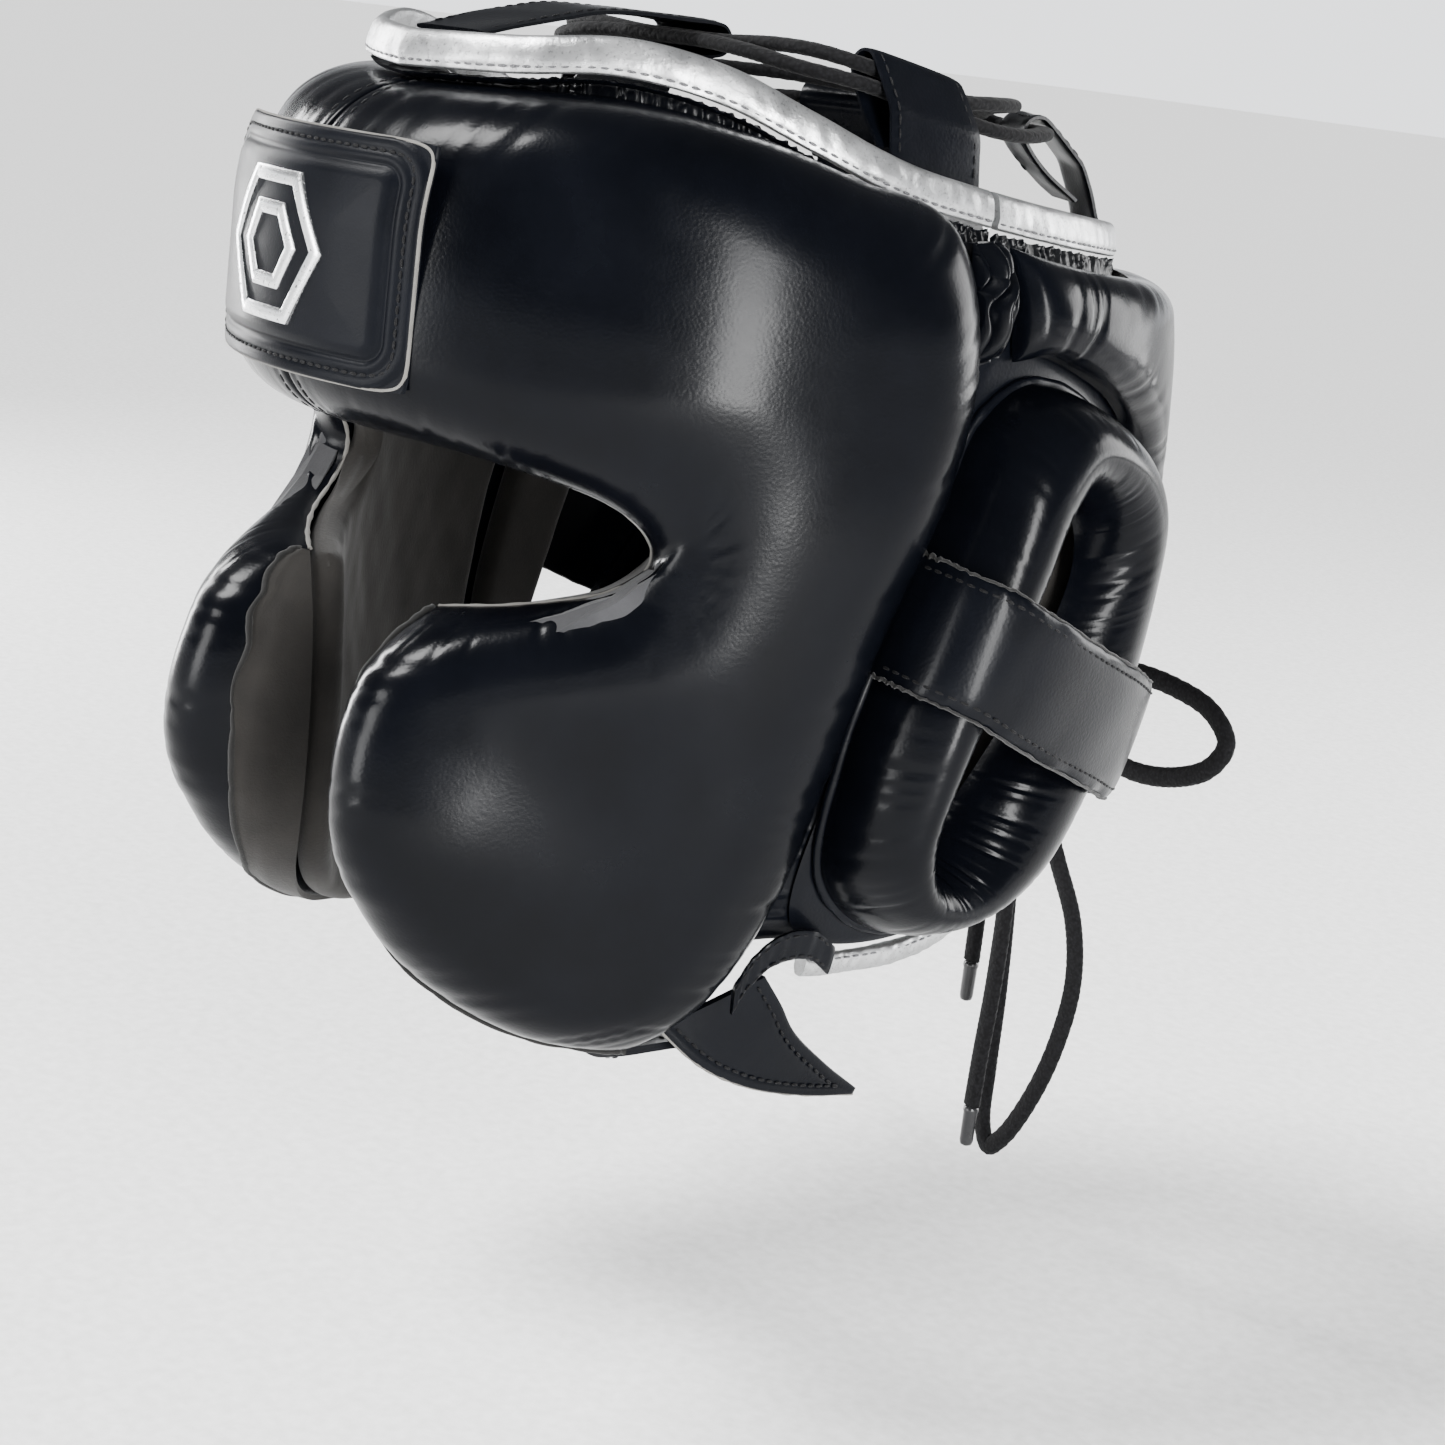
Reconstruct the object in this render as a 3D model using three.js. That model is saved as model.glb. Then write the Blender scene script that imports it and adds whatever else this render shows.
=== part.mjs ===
// Boxing headgear with cheek pads, padded ear rings and a laced back.
// Millimetres, +Z up, face towards -Y, the wearer's left is +X. The origin is in the middle of the head cavity.
// Places on the head are given as [phi, z]: phi is the angle in degrees from the front towards the wearer's left,
// and a height off the head is measured along the level normal of the head form.
import * as THREE from "three";

// Head form: a superellipse at each height, widest at the belt and drawn in above and below it.
const HEAD = { halfWidth: 77, front: 99, rear: 97, power: 2.2, beltZ: 10 };
const DRAW_IN = { side: [226, 294], front: [276, 700], rear: [239, 246] }; // [above, below] the belt

// Layers off the head form.
const LINING_INSIDE = 2.5;
const LINING_OUTSIDE = 9.9;
const SEAM = 12; // where the front pads' edges are sewn down
const BACKING = [12, 13.3];
const FLAP_SEAM = 14.2; // where the ear ring and the rear pad are sewn to the backing
const LEATHER = 1.6;
const FOAM_INSET = 4.8; // from the edge of a leather cover to the foam in it
const SEAM_GAP = 0.15; // degrees on each side of the centre seam
const FOAM_BACK = 2.4; // from the seam to the back of a flap foam
const FORM_POWER = 2.4; // how square a pad's rolled edge is

const LACE_DIAMETER = 4.6;
const LACE_SIDES = 8;

const { degToRad, smoothstep } = THREE.MathUtils;
const clamp01 = (x) => THREE.MathUtils.clamp(x, 0, 1);
const bell = (x, width) => Math.exp(-((x / width) ** 2));

// ---------- geometry helpers ----------

// A point off the head form at angle phi and height z, h mm along the level normal.
function onHead(phi, z, h) {
  const t = z - HEAD.beltZ;
  const part = t > 0 ? 0 : 1;
  const s = Math.sin(degToRad(phi));
  const c = Math.cos(degToRad(phi));
  const [length, taper] = c > 0 ? [HEAD.front, DRAW_IN.front] : [HEAD.rear, DRAW_IN.rear];
  const a = HEAD.halfWidth * (1 - (t / DRAW_IN.side[part]) ** 2);
  const b = length * (1 - (t / taper[part]) ** 2);
  const n = HEAD.power;
  const r = (Math.abs(s / a) ** n + Math.abs(c / b) ** n) ** (-1 / n);
  const x = r * s;
  const y = -r * c;
  const nx = Math.sign(x) * Math.abs(x) ** (n - 1) / a ** n;
  const ny = Math.sign(y) * Math.abs(y) ** (n - 1) / b ** n;
  const scale = h / Math.hypot(nx, ny);
  return new THREE.Vector3(x + nx * scale, y + ny * scale, z);
}

// A smooth curve through [a, b] pairs: its value at t from 0 to 1, with one span for each pair.
function through(pairs) {
  const curve = new THREE.SplineCurve(pairs.map(([a, b]) => new THREE.Vector2(a, b)));
  return (t) => curve.getPoint(clamp01(t));
}

// The same as a closed loop.
function loopThrough(pairs) {
  const points = pairs.map(([a, b]) => new THREE.Vector3(a, b, 0));
  const curve = new THREE.CatmullRomCurve3(points, true, "centripetal");
  return (t) => curve.getPoint(t - Math.floor(t));
}

// A value at x on a smooth curve through [x, value] pairs, with x rising.
function valueAt(pairs) {
  const curve = through(pairs);
  return (x) => {
    let [low, high] = [0, 1];
    for (let i = 0; i < 30; i++) {
      const middle = 0.5 * (low + high);
      if (curve(middle).x < x) low = middle;
      else high = middle;
    }
    return curve(low).y;
  };
}

// Indexed triangles as a geometry whose faces point outwards.
function closedGeometry(points, index) {
  let volume = 0;
  const cross = new THREE.Vector3();
  for (let i = 0; i < index.length; i += 3) {
    const [a, b, c] = [points[index[i]], points[index[i + 1]], points[index[i + 2]]];
    volume += a.dot(cross.crossVectors(b, c));
  }
  const facing = volume < 0 ? index.slice().reverse() : index;
  const geometry = new THREE.BufferGeometry().setFromPoints(points);
  geometry.setIndex(facing);
  geometry.computeVertexNormals();
  return geometry;
}

// A solid between two surfaces over the same grid of u and v, closed by a wall round its four edges.
function slab(nu, nv, outer, inner, spaceU = (t) => t, spaceV = (t) => t) {
  const points = [];
  for (const surface of [outer, inner]) {
    for (let i = 0; i <= nu; i++) {
      for (let j = 0; j <= nv; j++) points.push(surface(spaceU(i / nu), spaceV(j / nv)));
    }
  }
  const layer = (nu + 1) * (nv + 1);
  const at = (i, j, k) => k * layer + i * (nv + 1) + j;
  const index = [];
  const quad = (a, b, c, d) => index.push(a, b, c, a, c, d);
  for (let i = 0; i < nu; i++) {
    for (let j = 0; j < nv; j++) {
      quad(at(i, j, 0), at(i + 1, j, 0), at(i + 1, j + 1, 0), at(i, j + 1, 0));
      quad(at(i, j, 1), at(i, j + 1, 1), at(i + 1, j + 1, 1), at(i + 1, j, 1));
    }
    quad(at(i, 0, 0), at(i, 0, 1), at(i + 1, 0, 1), at(i + 1, 0, 0));
    quad(at(i, nv, 0), at(i + 1, nv, 0), at(i + 1, nv, 1), at(i, nv, 1));
  }
  for (let j = 0; j < nv; j++) {
    quad(at(0, j, 0), at(0, j + 1, 0), at(0, j + 1, 1), at(0, j, 1));
    quad(at(nu, j, 0), at(nu, j, 1), at(nu, j + 1, 1), at(nu, j + 1, 0));
  }
  return closedGeometry(points, index);
}

// A closed hoop: section(t) gives the corners of the cross-section at t from 0 to 1 round the hoop.
function hoop(steps, section) {
  const sections = Array.from({ length: steps }, (_, i) => section(i / steps));
  const m = sections[0].length;
  const at = (i, j) => (i % steps) * m + (j % m);
  const index = [];
  for (let i = 0; i < steps; i++) {
    for (let j = 0; j < m; j++) {
      index.push(at(i, j), at(i + 1, j), at(i + 1, j + 1), at(i, j), at(i + 1, j + 1), at(i, j + 1));
    }
  }
  return closedGeometry(sections.flat(), index);
}

// Steps that are denser near both ends, or near the far end only.
const denseEnds = (t) => t - 0.115 * Math.sin(2 * Math.PI * t);
const denseFarEnd = (t) => t + 0.42 * t * (1 - t) * t * 2;

// A tube along a smooth curve through points.
function cordTube(points, steps, diameter = LACE_DIAMETER) {
  const path = new THREE.CatmullRomCurve3(points.map((p) => new THREE.Vector3(...p)), false, "centripetal");
  const section = new THREE.Shape();
  for (let i = 0; i < LACE_SIDES; i++) {
    const a = (2 * Math.PI * i) / LACE_SIDES;
    const corner = [0.5 * diameter * Math.cos(a), 0.5 * diameter * Math.sin(a)];
    if (i === 0) section.moveTo(...corner);
    else section.lineTo(...corner);
  }
  return new THREE.ExtrudeGeometry(section, { steps, extrudePath: path, curveSegments: 1 });
}

// ---------- padded panels ----------

// A padded panel over a patch of the head form, bounded by four curves in [phi, z]:
// near (v = 0), far (v = 1), start (u = 0) and end (u = 1), blended as a Coons patch.
// Its height is the seam height plus rise(phi, z), rolled down to the seam at each edge over the roll widths.
class Panel {
  constructor({ near, far, start, end, seam, rise, roll }) {
    Object.assign(this, { near, far, start, end, seam, rise, roll });
  }

  place(u, v) {
    const { near, far, start, end } = this;
    const corner = (a, b, c, d) => (1 - u) * ((1 - v) * a + v * b) + u * ((1 - v) * c + v * d);
    const [n, f, s, e] = [near(u), far(u), start(v), end(v)];
    const [n0, f0, n1, f1] = [near(0), far(0), near(1), far(1)];
    const x = (1 - v) * n.x + v * f.x + (1 - u) * s.x + u * e.x - corner(n0.x, f0.x, n1.x, f1.x);
    const y = (1 - v) * n.y + v * f.y + (1 - u) * s.y + u * e.y - corner(n0.y, f0.y, n1.y, f1.y);
    return [x, y];
  }

  // The panel's length in mm across v at u, and along u at v.
  length(point, steps = 8) {
    let sum = 0;
    let last = onHead(...this.place(...point(0)), this.seam);
    for (let i = 1; i <= steps; i++) {
      const next = onHead(...this.place(...point(i / steps)), this.seam);
      sum += next.distanceTo(last);
      last = next;
    }
    return sum;
  }

  // Where a point of a copy of the panel, drawn in by inset mm at its sewn edges, lies: its place and edge distances.
  drawnIn(u, v, inset) {
    const across = this.length((t) => [u, t]);
    const along = this.length((t) => [t, v]);
    const startInset = this.roll.start ? inset : 0;
    const du = (along - inset - startInset) / along;
    const dv = (across - 2 * inset) / across;
    const [uu, vv] = [startInset / along + u * du, inset / across + v * dv];
    return {
      place: this.place(uu, vv),
      near: v * across * dv,
      far: (1 - v) * across * dv,
      start: u * along * du,
      end: (1 - u) * along * du,
    };
  }

  // The outside of the panel, drawn in by inset mm and lowered by drop mm.
  outside(inset = 0, drop = 0, seam = this.seam) {
    return (u, v) => {
      const at = this.drawnIn(u, v, inset);
      const { roll } = this;
      const edge = (distance, width) => {
        const t = width ? clamp01(distance / width) : 1;
        return (1 - (1 - t) ** FORM_POWER) ** (1 / FORM_POWER);
      };
      const centre = roll.dip ? 1 - roll.dip * (1 - edge(at.start, roll.dipWidth)) : 1;
      const rounded = edge(at.near, roll.near(u)) * edge(at.far, roll.far(u)) * edge(at.end, roll.end);
      const full = rounded * (roll.start ? edge(at.start, roll.start) : centre);
      return onHead(...at.place, seam + (this.rise(...at.place) - drop) * full);
    };
  }

  // A level surface of the same outline at height h.
  level(inset, h) {
    return (u, v) => onHead(...this.drawnIn(u, v, inset).place, h);
  }
}

// The three layers of a padded panel: a hollow leather cover, the foam in it, and the lining behind.
function coverOf(panel, nu, nv, spaceU, spaceV) {
  return slab(nu, nv, panel.outside(), panel.outside(LEATHER, LEATHER), spaceU, spaceV);
}

function foamOf(panel, nu, nv, spaceU, spaceV) {
  const back = panel.seam + FOAM_BACK;
  const foam = panel.outside(FOAM_INSET, FOAM_INSET + FOAM_BACK, back + 0.3);
  return slab(nu, nv, foam, panel.level(FOAM_INSET, back), spaceU, spaceV);
}

// Forehead, temple and cheek in one panel round the eye opening.
const CROWN_SEAM_Z = 100; // top edge of the forehead at the centre
const frontPanel = new Panel({
  near: through([
    [SEAM_GAP, 19], [9, 19], [18, 18.5], [26, 16.5], [34, 13], [39, 8], [41.4, 2],
    [40.5, -4], [36, -9.5], [30, -13], [24, -16], [19, -18], [15.5, -19.5],
  ]),
  far: through([
    [SEAM_GAP, CROWN_SEAM_Z], [15, 101.2], [30, 101.8], [46, 98], [64, 90.5], [81, 83.5], [86.5, 58],
    [84.5, 28], [76.3, -12], [70.5, -50], [65, -82], [56, -108], [43, -126],
  ]),
  start: through([[SEAM_GAP, 19], [SEAM_GAP, 60], [SEAM_GAP, CROWN_SEAM_Z]]),
  end: through([[15.5, -19.5], [11.3, -36], [10.2, -60], [11.4, -85], [16.6, -107], [27.5, -121], [43, -126]]),
  seam: SEAM,
  rise: (phi, z) => {
    const brow = bell(z - 62, 42) * (2 * bell(phi, 50) + 5 * bell(phi, 19));
    const cheek = bell(z + 68, 48) * (22 * bell(phi - 10, 17) - 4 * bell(phi - 36, 12));
    return 18 + 4 * bell(z - 62, 60) + brow + cheek;
  },
  roll: {
    near: (u) => 20 + 28 * bell(u - 0.5, 0.19),
    far: (u) => 20 + 10 * smoothstep(u, 0.15, 0.4),
    end: 25,
    dip: 0.06,
    dipWidth: 5,
  },
});

// The panel above and behind the ear ring, on the rear flap.
const rearPanel = new Panel({
  near: through([
    [99.5, 51], [106, 52.5], [114, 49.5], [127, 42], [139, 30], [146, 14], [147, -8], [145, -30], [142, -50],
  ]),
  far: through([
    [98.5, 78], [108, 75.5], [124, 72.5], [148, 69.5], [170, 67], [172, 40], [172, 10], [172, -20], [171, -49],
  ]),
  start: through([[99.5, 51], [99, 64], [98.5, 78]]),
  end: through([[142, -50], [156, -50], [171, -49]]),
  seam: FLAP_SEAM,
  rise: (phi, z) => 9 + 2 * bell(z - 40, 60) + 5 * bell(phi - 172, 18),
  roll: { near: () => 13, far: () => 16, start: 12, end: 12 },
});

// ---------- ear ring ----------

const RING_OUTLINE = [
  [104, 46], [122, 39], [136, 22], [141, -2], [139.5, -32], [133, -62], [122, -84], [105, -94],
  [87, -93], [74.5, -79], [74, -46], [79.6, -12], [86, 16], [92.5, 37],
];
const RING_HOLE = [
  [111, 19], [119, 13], [123, 0], [120, -16], [114, -34], [106, -53], [99, -67], [93.5, -73],
  [90, -70], [89.5, -58], [93, -40], [98, -23], [103, -4], [107, 11],
];
const ringRise = (t) => 22 + 3.5 * Math.cos(2 * Math.PI * (t - 0.72)); // fullest at the front, lower behind
const ringOutline = loopThrough(RING_OUTLINE);
const ringHole = loopThrough(RING_HOLE);

// A point across the ring: w goes from the outline (0) to the hole (1), drawn in by inset mm at both.
function acrossRing(t, w, inset, h) {
  const [a, b] = [ringOutline(t), ringHole(t)];
  const width = onHead(a.x, a.y, FLAP_SEAM).distanceTo(onHead(b.x, b.y, FLAP_SEAM));
  const k = inset / width + w * (1 - (2 * inset) / width);
  return onHead(a.x + (b.x - a.x) * k, a.y + (b.y - a.y) * k, h);
}

// Corners of the ring's domed section from its outline to its hole.
function ringDome(t, inset, rise, corners, seam = FLAP_SEAM) {
  const dome = (w) => Math.sin(Math.PI * w) ** 0.55;
  return Array.from({ length: corners + 1 }, (_, i) => {
    const w = 0.5 - 0.5 * Math.cos((Math.PI * i) / corners);
    return acrossRing(t, w, inset, seam + rise * dome(w));
  });
}

const RING_STEPS = 28;
const RING_CORNERS = 5;

function ringCover() {
  return hoop(RING_STEPS, (t) => [
    ...ringDome(t, 0, ringRise(t), RING_CORNERS),
    ...ringDome(t, LEATHER, ringRise(t) - LEATHER, RING_CORNERS).reverse(),
  ]);
}

function ringFoam() {
  const inset = FOAM_INSET;
  return hoop(RING_STEPS, (t) => [
    ...ringDome(t, inset, ringRise(t) - inset - FOAM_BACK, RING_CORNERS, FLAP_SEAM + FOAM_BACK),
    acrossRing(t, 0.66, inset, FLAP_SEAM + FOAM_BACK + 0.8),
    acrossRing(t, 0.33, inset, FLAP_SEAM + FOAM_BACK + 0.8),
  ]);
}

// ---------- flat layers of the rear flap ----------

const FLAP_LOWER_EDGE = [[72, -97], [84, -98], [106, -97], [124, -91], [144, -74], [158, -61], [170, -54]];
const flapLowerZ = valueAt(FLAP_LOWER_EDGE);
const FLAP_OUTLINE = [
  [104, 70], [130, 66], [150, 64], [169.5, 61.5], [171.5, 25], [171.5, -15],
  ...[169, 155, 140, 108, 80].map((phi) => [phi, flapLowerZ(phi)]),
  [71, -92], [74, -50], [83, 0], [91, 45],
];
const FLAP_HOLE = [
  [107, 22], [116, 22], [124, 15], [126, 0], [123, -16], [117, -36], [109, -56], [105.5, -63.5], [101, -70],
  [93, -77.5], [86, -73], [86.5, -56], [93, -30], [99, -6], [104, 12],
];
const flapOutline = loopThrough(FLAP_OUTLINE);
const flapHole = loopThrough(FLAP_HOLE);

// A flat layer of the flap with the ear hole through it.
function flapLayer(steps, low, high) {
  const at = (t, w, h) => {
    const [a, b] = [flapOutline(t), flapHole(t)];
    return onHead(a.x + (b.x - a.x) * w, a.y + (b.y - a.y) * w, h);
  };
  const across = [0, 0.25, 0.5, 0.75, 1];
  return hoop(steps, (t) => [
    ...across.map((w) => at(t, w, high)),
    ...across.map((w) => at(t, w, low)).reverse(),
  ]);
}

// ---------- ear strap ----------

const STRAP_WIDTH = 30;
const STRAP_THICKNESS = 3.6;
const STRAP_SKEW = 6; // degrees that its ends lean over its width, along the side seam
const STRAP_LINE = [
  // phi, z, height of its underside
  [78, -9, 15.6], [78.8, -9.5, 24], [80.8, -11, 33.4], [85, -13.5, 39.4], [92, -19, 41.2], [104, -28, 40],
  [117, -37, 37.6], [127, -44, 34.6], [134.6, -47.5, 30.4], [138.2, -49, 24], [139.2, -49.5, 17],
];

function earStrap() {
  const line = new THREE.CatmullRomCurve3(STRAP_LINE.map((p) => new THREE.Vector3(...p)), false, "centripetal");
  const side = (lift) => (u, v) => {
    const p = line.getPoint(u);
    return onHead(p.x + STRAP_SKEW * (v - 0.5), p.y + (v - 0.5) * STRAP_WIDTH, p.z + lift);
  };
  return slab(20, 2, side(STRAP_THICKNESS), side(0));
}

// ---------- gathered bellows, crown band and bindings ----------

function bellows() {
  const place = (u, v) => [88.6 + 8 * u - 1.6 * (1 - v), 49 + 30 * v + 3 * (1 - v) * u];
  const fold = (u) => 2.2 * Math.sin(5 * Math.PI * u);
  const front = (u, v) => onHead(...place(u, v), FLAP_SEAM + 7 * Math.sin(Math.PI * v) ** 0.5 + fold(u) + 2.8);
  const back = (u, v) => onHead(...place(u, v), FLAP_SEAM + 0.4);
  return slab(8, 4, front, back);
}

// The bound rim's middle: its height and how far it stands off the head form, by the angle off the front.
const RIM_HEIGHT = [
  [0, 107], [15, 108.6], [28, 111], [42, 107.5], [56, 100], [75, 91], [97, 86], [122, 82], [147, 79], [172, 77],
];
const RIM_OFF = [[0, 22], [15, 19], [30, 14.5], [50, 11.2], [75, 10], [97, 9], [172, 9]];
const rimHeight = valueAt(RIM_HEIGHT);
const rimOff = valueAt(RIM_OFF);
const rimZ = (phi) => rimHeight(Math.abs(phi));

const BINDING_HALF_HEIGHT = 4.4;
const BINDING_THICKNESS = 4.6;
const BAND_DROP = 13; // from the rim's middle to the foot of the gathered band

// The silver binding, a band with a rounded top, between two angles.
function crownBinding(from, to, steps) {
  const height = BINDING_HALF_HEIGHT;
  const side = (out) => (u, v) => {
    const phi = from + (to - from) * u;
    const bulge = Math.sin(Math.PI * (0.14 + 0.72 * v)) ** 0.6;
    const off = rimOff(Math.abs(phi)) + 0.5 * out * BINDING_THICKNESS * bulge;
    return onHead(phi, rimZ(phi) + height * (2 * v - 1), off);
  };
  return slab(steps, 2, side(1), side(-1));
}

// The gathered leather band: up from the lining, then out over the pads' top seam to the binding.
function crownBand(from, to, steps) {
  const side = (foot, bend) => (u, v) => {
    const phi = from + (to - from) * u;
    const top = rimZ(phi) - bend;
    if (v > 0.75) return onHead(phi, top, rimOff(Math.abs(phi)) - 0.5);
    return onHead(phi, v < 0.25 ? rimZ(phi) - BAND_DROP : top, foot);
  };
  return slab(steps, 2, side(9.6, 6.2), side(7.4, 4.9));
}

// The silver binding along the flap's lower edge.
function lowerBinding() {
  const HALF_HEIGHT = 3.2;
  const side = (out) => (u, v) => {
    const phi = 76 + (168 - 76) * u;
    const bulge = Math.sin(Math.PI * (0.14 + 0.72 * v)) ** 0.6;
    return onHead(phi, flapLowerZ(phi) - 3.4 + HALF_HEIGHT * (2 * v - 2), 11 + 2.1 * out * bulge);
  };
  return slab(14, 2, side(1), side(-1));
}

// ---------- lining ----------

// The lining of the front panel, stopped short of the crown band.
function frontLining() {
  const puff = (u, v) => 1.5 * Math.sin(Math.PI * u) ** 2 * Math.sin(Math.PI * v) ** 2;
  const place = (u, v) => {
    const [phi, z] = frontPanel.drawnIn(u, v, 1.2).place;
    return [phi, Math.min(z, rimZ(phi) - BAND_DROP - 0.8)];
  };
  const outer = (u, v) => onHead(...place(u, v), LINING_OUTSIDE);
  const inner = (u, v) => onHead(...place(u, v), LINING_INSIDE + 1.5 - puff(u, v));
  return slab(16, 5, outer, inner, denseFarEnd, denseEnds);
}

// ---------- crown tabs and lace ----------

// A leather tab sewn to the rim, running to the crown lace and folded back under itself round it:
// foot and fold are the middles of its ends, and along is the level direction of its width.
function crownTab({ foot, fold, across, width, arch }) {
  const [a, b, side] = [foot, fold, across].map((p) => new THREE.Vector3(...p));
  side.normalize();
  const run = b.clone().sub(a);
  const up = side.clone().cross(run).normalize();
  if (up.z < 0) up.negate();
  const EYE = 3.1; // the fold's inner radius, round the lace
  const SKIN = 1.5;
  // The strip's middle line: out along the top, round the fold, and back underneath.
  const line = [];
  const length = run.length();
  const ahead = run.clone().normalize();
  const put = (along, high) => line.push(a.clone().addScaledVector(ahead, along).addScaledVector(up, high));
  const top = (t) => arch * Math.sin(Math.PI * t);
  for (let i = 0; i <= 5; i++) put(length * (i / 5), top(i / 5) + (EYE + SKIN / 2) * Math.min(1, i / 2.5));
  for (let i = 1; i < 6; i++) {
    const angle = Math.PI / 2 - (Math.PI * i) / 6;
    put(length + (EYE + SKIN / 2) * Math.cos(angle), (EYE + SKIN / 2) * Math.sin(angle));
  }
  put(length, -(EYE + SKIN / 2));
  put(length - 10, top(1 - 10 / length) - (EYE + SKIN / 2));
  put(length - 20, top(1 - 20 / length) - 0.4 * (EYE + SKIN / 2));
  const normal = (i) => {
    const before = line[Math.max(0, i - 1)];
    const after = line[Math.min(line.length - 1, i + 1)];
    return after.clone().sub(before).cross(side).normalize();
  };
  const n = line.length - 1;
  const surface = (out) => (u, v) => {
    const i = Math.round(u * n);
    return line[i].clone()
      .addScaledVector(normal(i), 0.5 * SKIN * out)
      .addScaledVector(side, width * (v - 0.5));
  };
  return slab(n, 1, surface(1), surface(-1));
}

const TABS = {
  front: { foot: [0, -98, 112], fold: [0, -30, 117], across: [1, 0, 0], width: 30, arch: 2 },
  side: { foot: [70, -3, 91], fold: [57, -4, 113], across: [0, 1, -0.18], width: 30, arch: 1 },
  rear: { foot: [46.5, 73, 84], fold: [37, 57, 104], across: [1, -0.55, 0], width: 24, arch: 1 },
};

// One side of the crown lace: through the front tab and the side tab to the rear tab, through that and back.
function crownLace() {
  const start = 0.3;
  return cordTube([
    [start, -35.4, 116.6], [16, -35.4, 116.6], [34, -36, 115.6], [48, -32, 113.6], [59.7, -21, 111.5],
    [59.7, -4, 108.4], [59.7, 13.5, 105.3], [60, 25, 103.6], [57, 38, 103.2], [50.3, 49.7, 104], [37, 57, 104],
    [23.7, 64.3, 104], [16.5, 66, 104.4], [14, 61, 106], [21, 56, 108], [34, 50, 109.4], [46, 41, 110],
    [54, 28, 110], [57, 13.5, 109.9], [57, -4, 113], [57, -21, 116.1], [50, -27, 117.6], [38, -29.5, 118],
    [16, -30, 117], [start, -30, 117],
  ], 36);
}

// ---------- rear lace loops, lacing and bow ----------

const LOOP_HEIGHTS = [46, 12, -22]; // middles of the three lace loops on each flap
const LOOP_WIDTH = 12;
const LOOP_EYE = 3.2; // inner radius
const LOOP_SKIN = 1.4;
const LACING_RISE = 17; // the lacing's height off the head form
const backY = (z, rise) => onHead(180, z, rise).y;

// A leather loop sewn into the flap's rear edge, a strip folded round the lace.
function laceLoop(z0) {
  const edge = 13.6;
  const eyeX = 8.6;
  const radius = LOOP_EYE + LOOP_SKIN / 2;
  const line = [[edge, -radius], [eyeX + 2, -radius]];
  for (let i = 0; i <= 6; i++) {
    const angle = -Math.PI / 2 - (Math.PI * i) / 6;
    line.push([eyeX + radius * Math.cos(angle), radius * Math.sin(angle)]);
  }
  line.push([eyeX + 2, radius], [edge, radius]);
  const n = line.length - 1;
  const surface = (out) => (u, v) => {
    const i = Math.round(u * n);
    const [a, b] = [line[Math.max(0, i - 1)], line[Math.min(n, i + 1)]];
    const run = Math.hypot(b[0] - a[0], b[1] - a[1]);
    const x = line[i][0] - ((b[1] - a[1]) / run) * 0.5 * LOOP_SKIN * out;
    const y = line[i][1] + ((b[0] - a[0]) / run) * 0.5 * LOOP_SKIN * out;
    const z = z0 + LOOP_WIDTH * (v - 0.5);
    return new THREE.Vector3(x, backY(z, LACING_RISE) + y, z);
  };
  return slab(n, 1, surface(1), surface(-1));
}

const KNOT = [0, 121, -52];

// One side's share of the crossed lacing: down through its loops, meeting the other side's on the centre line.
function rearLacing() {
  const eye = 8.6;
  const meet = 0.5 * LACE_DIAMETER + 0.6;
  const points = [[0.4, LOOP_HEIGHTS[0] + 13], [3.4, LOOP_HEIGHTS[0] + 13], [6.6, LOOP_HEIGHTS[0] + 11]];
  LOOP_HEIGHTS.forEach((z, i) => {
    points.push([eye, z + 6], [eye, z - 6]);
    if (i < LOOP_HEIGHTS.length - 1) points.push([meet + 2, z - 13], [meet, z - 18], [meet + 2, z - 23]);
  });
  const route = points.map(([x, z]) => [x, backY(z, LACING_RISE), z]);
  route.push([6.4, 115.5, -44]);
  return cordTube(route, 26);
}

function bowKnot() {
  const knot = new THREE.SphereGeometry(1, 12, 8);
  knot.scale(8, 5.4, 6.6);
  knot.translate(...KNOT);
  return knot;
}

const BOW_LOOP = [
  [9.2, 122, -50], [20, 123, -46], [38, 124, -43.5], [58, 124.6, -43.5], [74, 124.6, -47], [81, 124.4, -54],
  [77, 124.2, -62], [66, 124, -68], [50, 123.8, -71], [32, 123.4, -68.5], [18, 122.6, -62], [9.2, 122, -56.5],
];
const LONG_LOOP = [
  [3.6, 123.5, -60.6], [5.6, 127, -72], [9.6, 129.4, -90], [20, 130, -108], [30, 130, -124], [34, 130, -142],
  [31, 130, -164], [24, 130, -184], [15, 130, -200], [9.6, 130, -204.5], [6, 130, -198], [5, 130, -180],
  [4.4, 130, -156], [2.6, 130, -130], [0.4, 129.4, -104], [-1.6, 127, -80], [-3.4, 123.5, -60.6],
];
const TAILS = {
  outer: [
    [-8.6, 121.5, -57.4], [-9.4, 124, -68], [-9.6, 127, -86], [-9.6, 129, -108], [-9.6, 130, -130], [-9.2, 130, -150],
  ],
  inner: [
    [0, 119.5, -61], [3, 120, -76], [7, 120.6, -96], [10, 121, -122], [10.4, 121, -150], [9.4, 121, -174],
    [9, 121, -190],
  ],
};
const TIP_LENGTH = 13;
const TIP_RADIUS = 2.6;

// A lace tip below the last point of a tail.
function laceTip([x, y, z]) {
  const tip = new THREE.CylinderGeometry(TIP_RADIUS, TIP_RADIUS - 0.4, TIP_LENGTH, 10);
  tip.rotateX(Math.PI / 2);
  tip.translate(x, y, z - 0.3 - TIP_LENGTH / 2);
  return tip;
}

// ---------- forehead label ----------

const LABEL = { width: 84, bottom: 32, top: 88, back: -138.4, thickness: 1.7, curve: 0.0068 };

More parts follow.
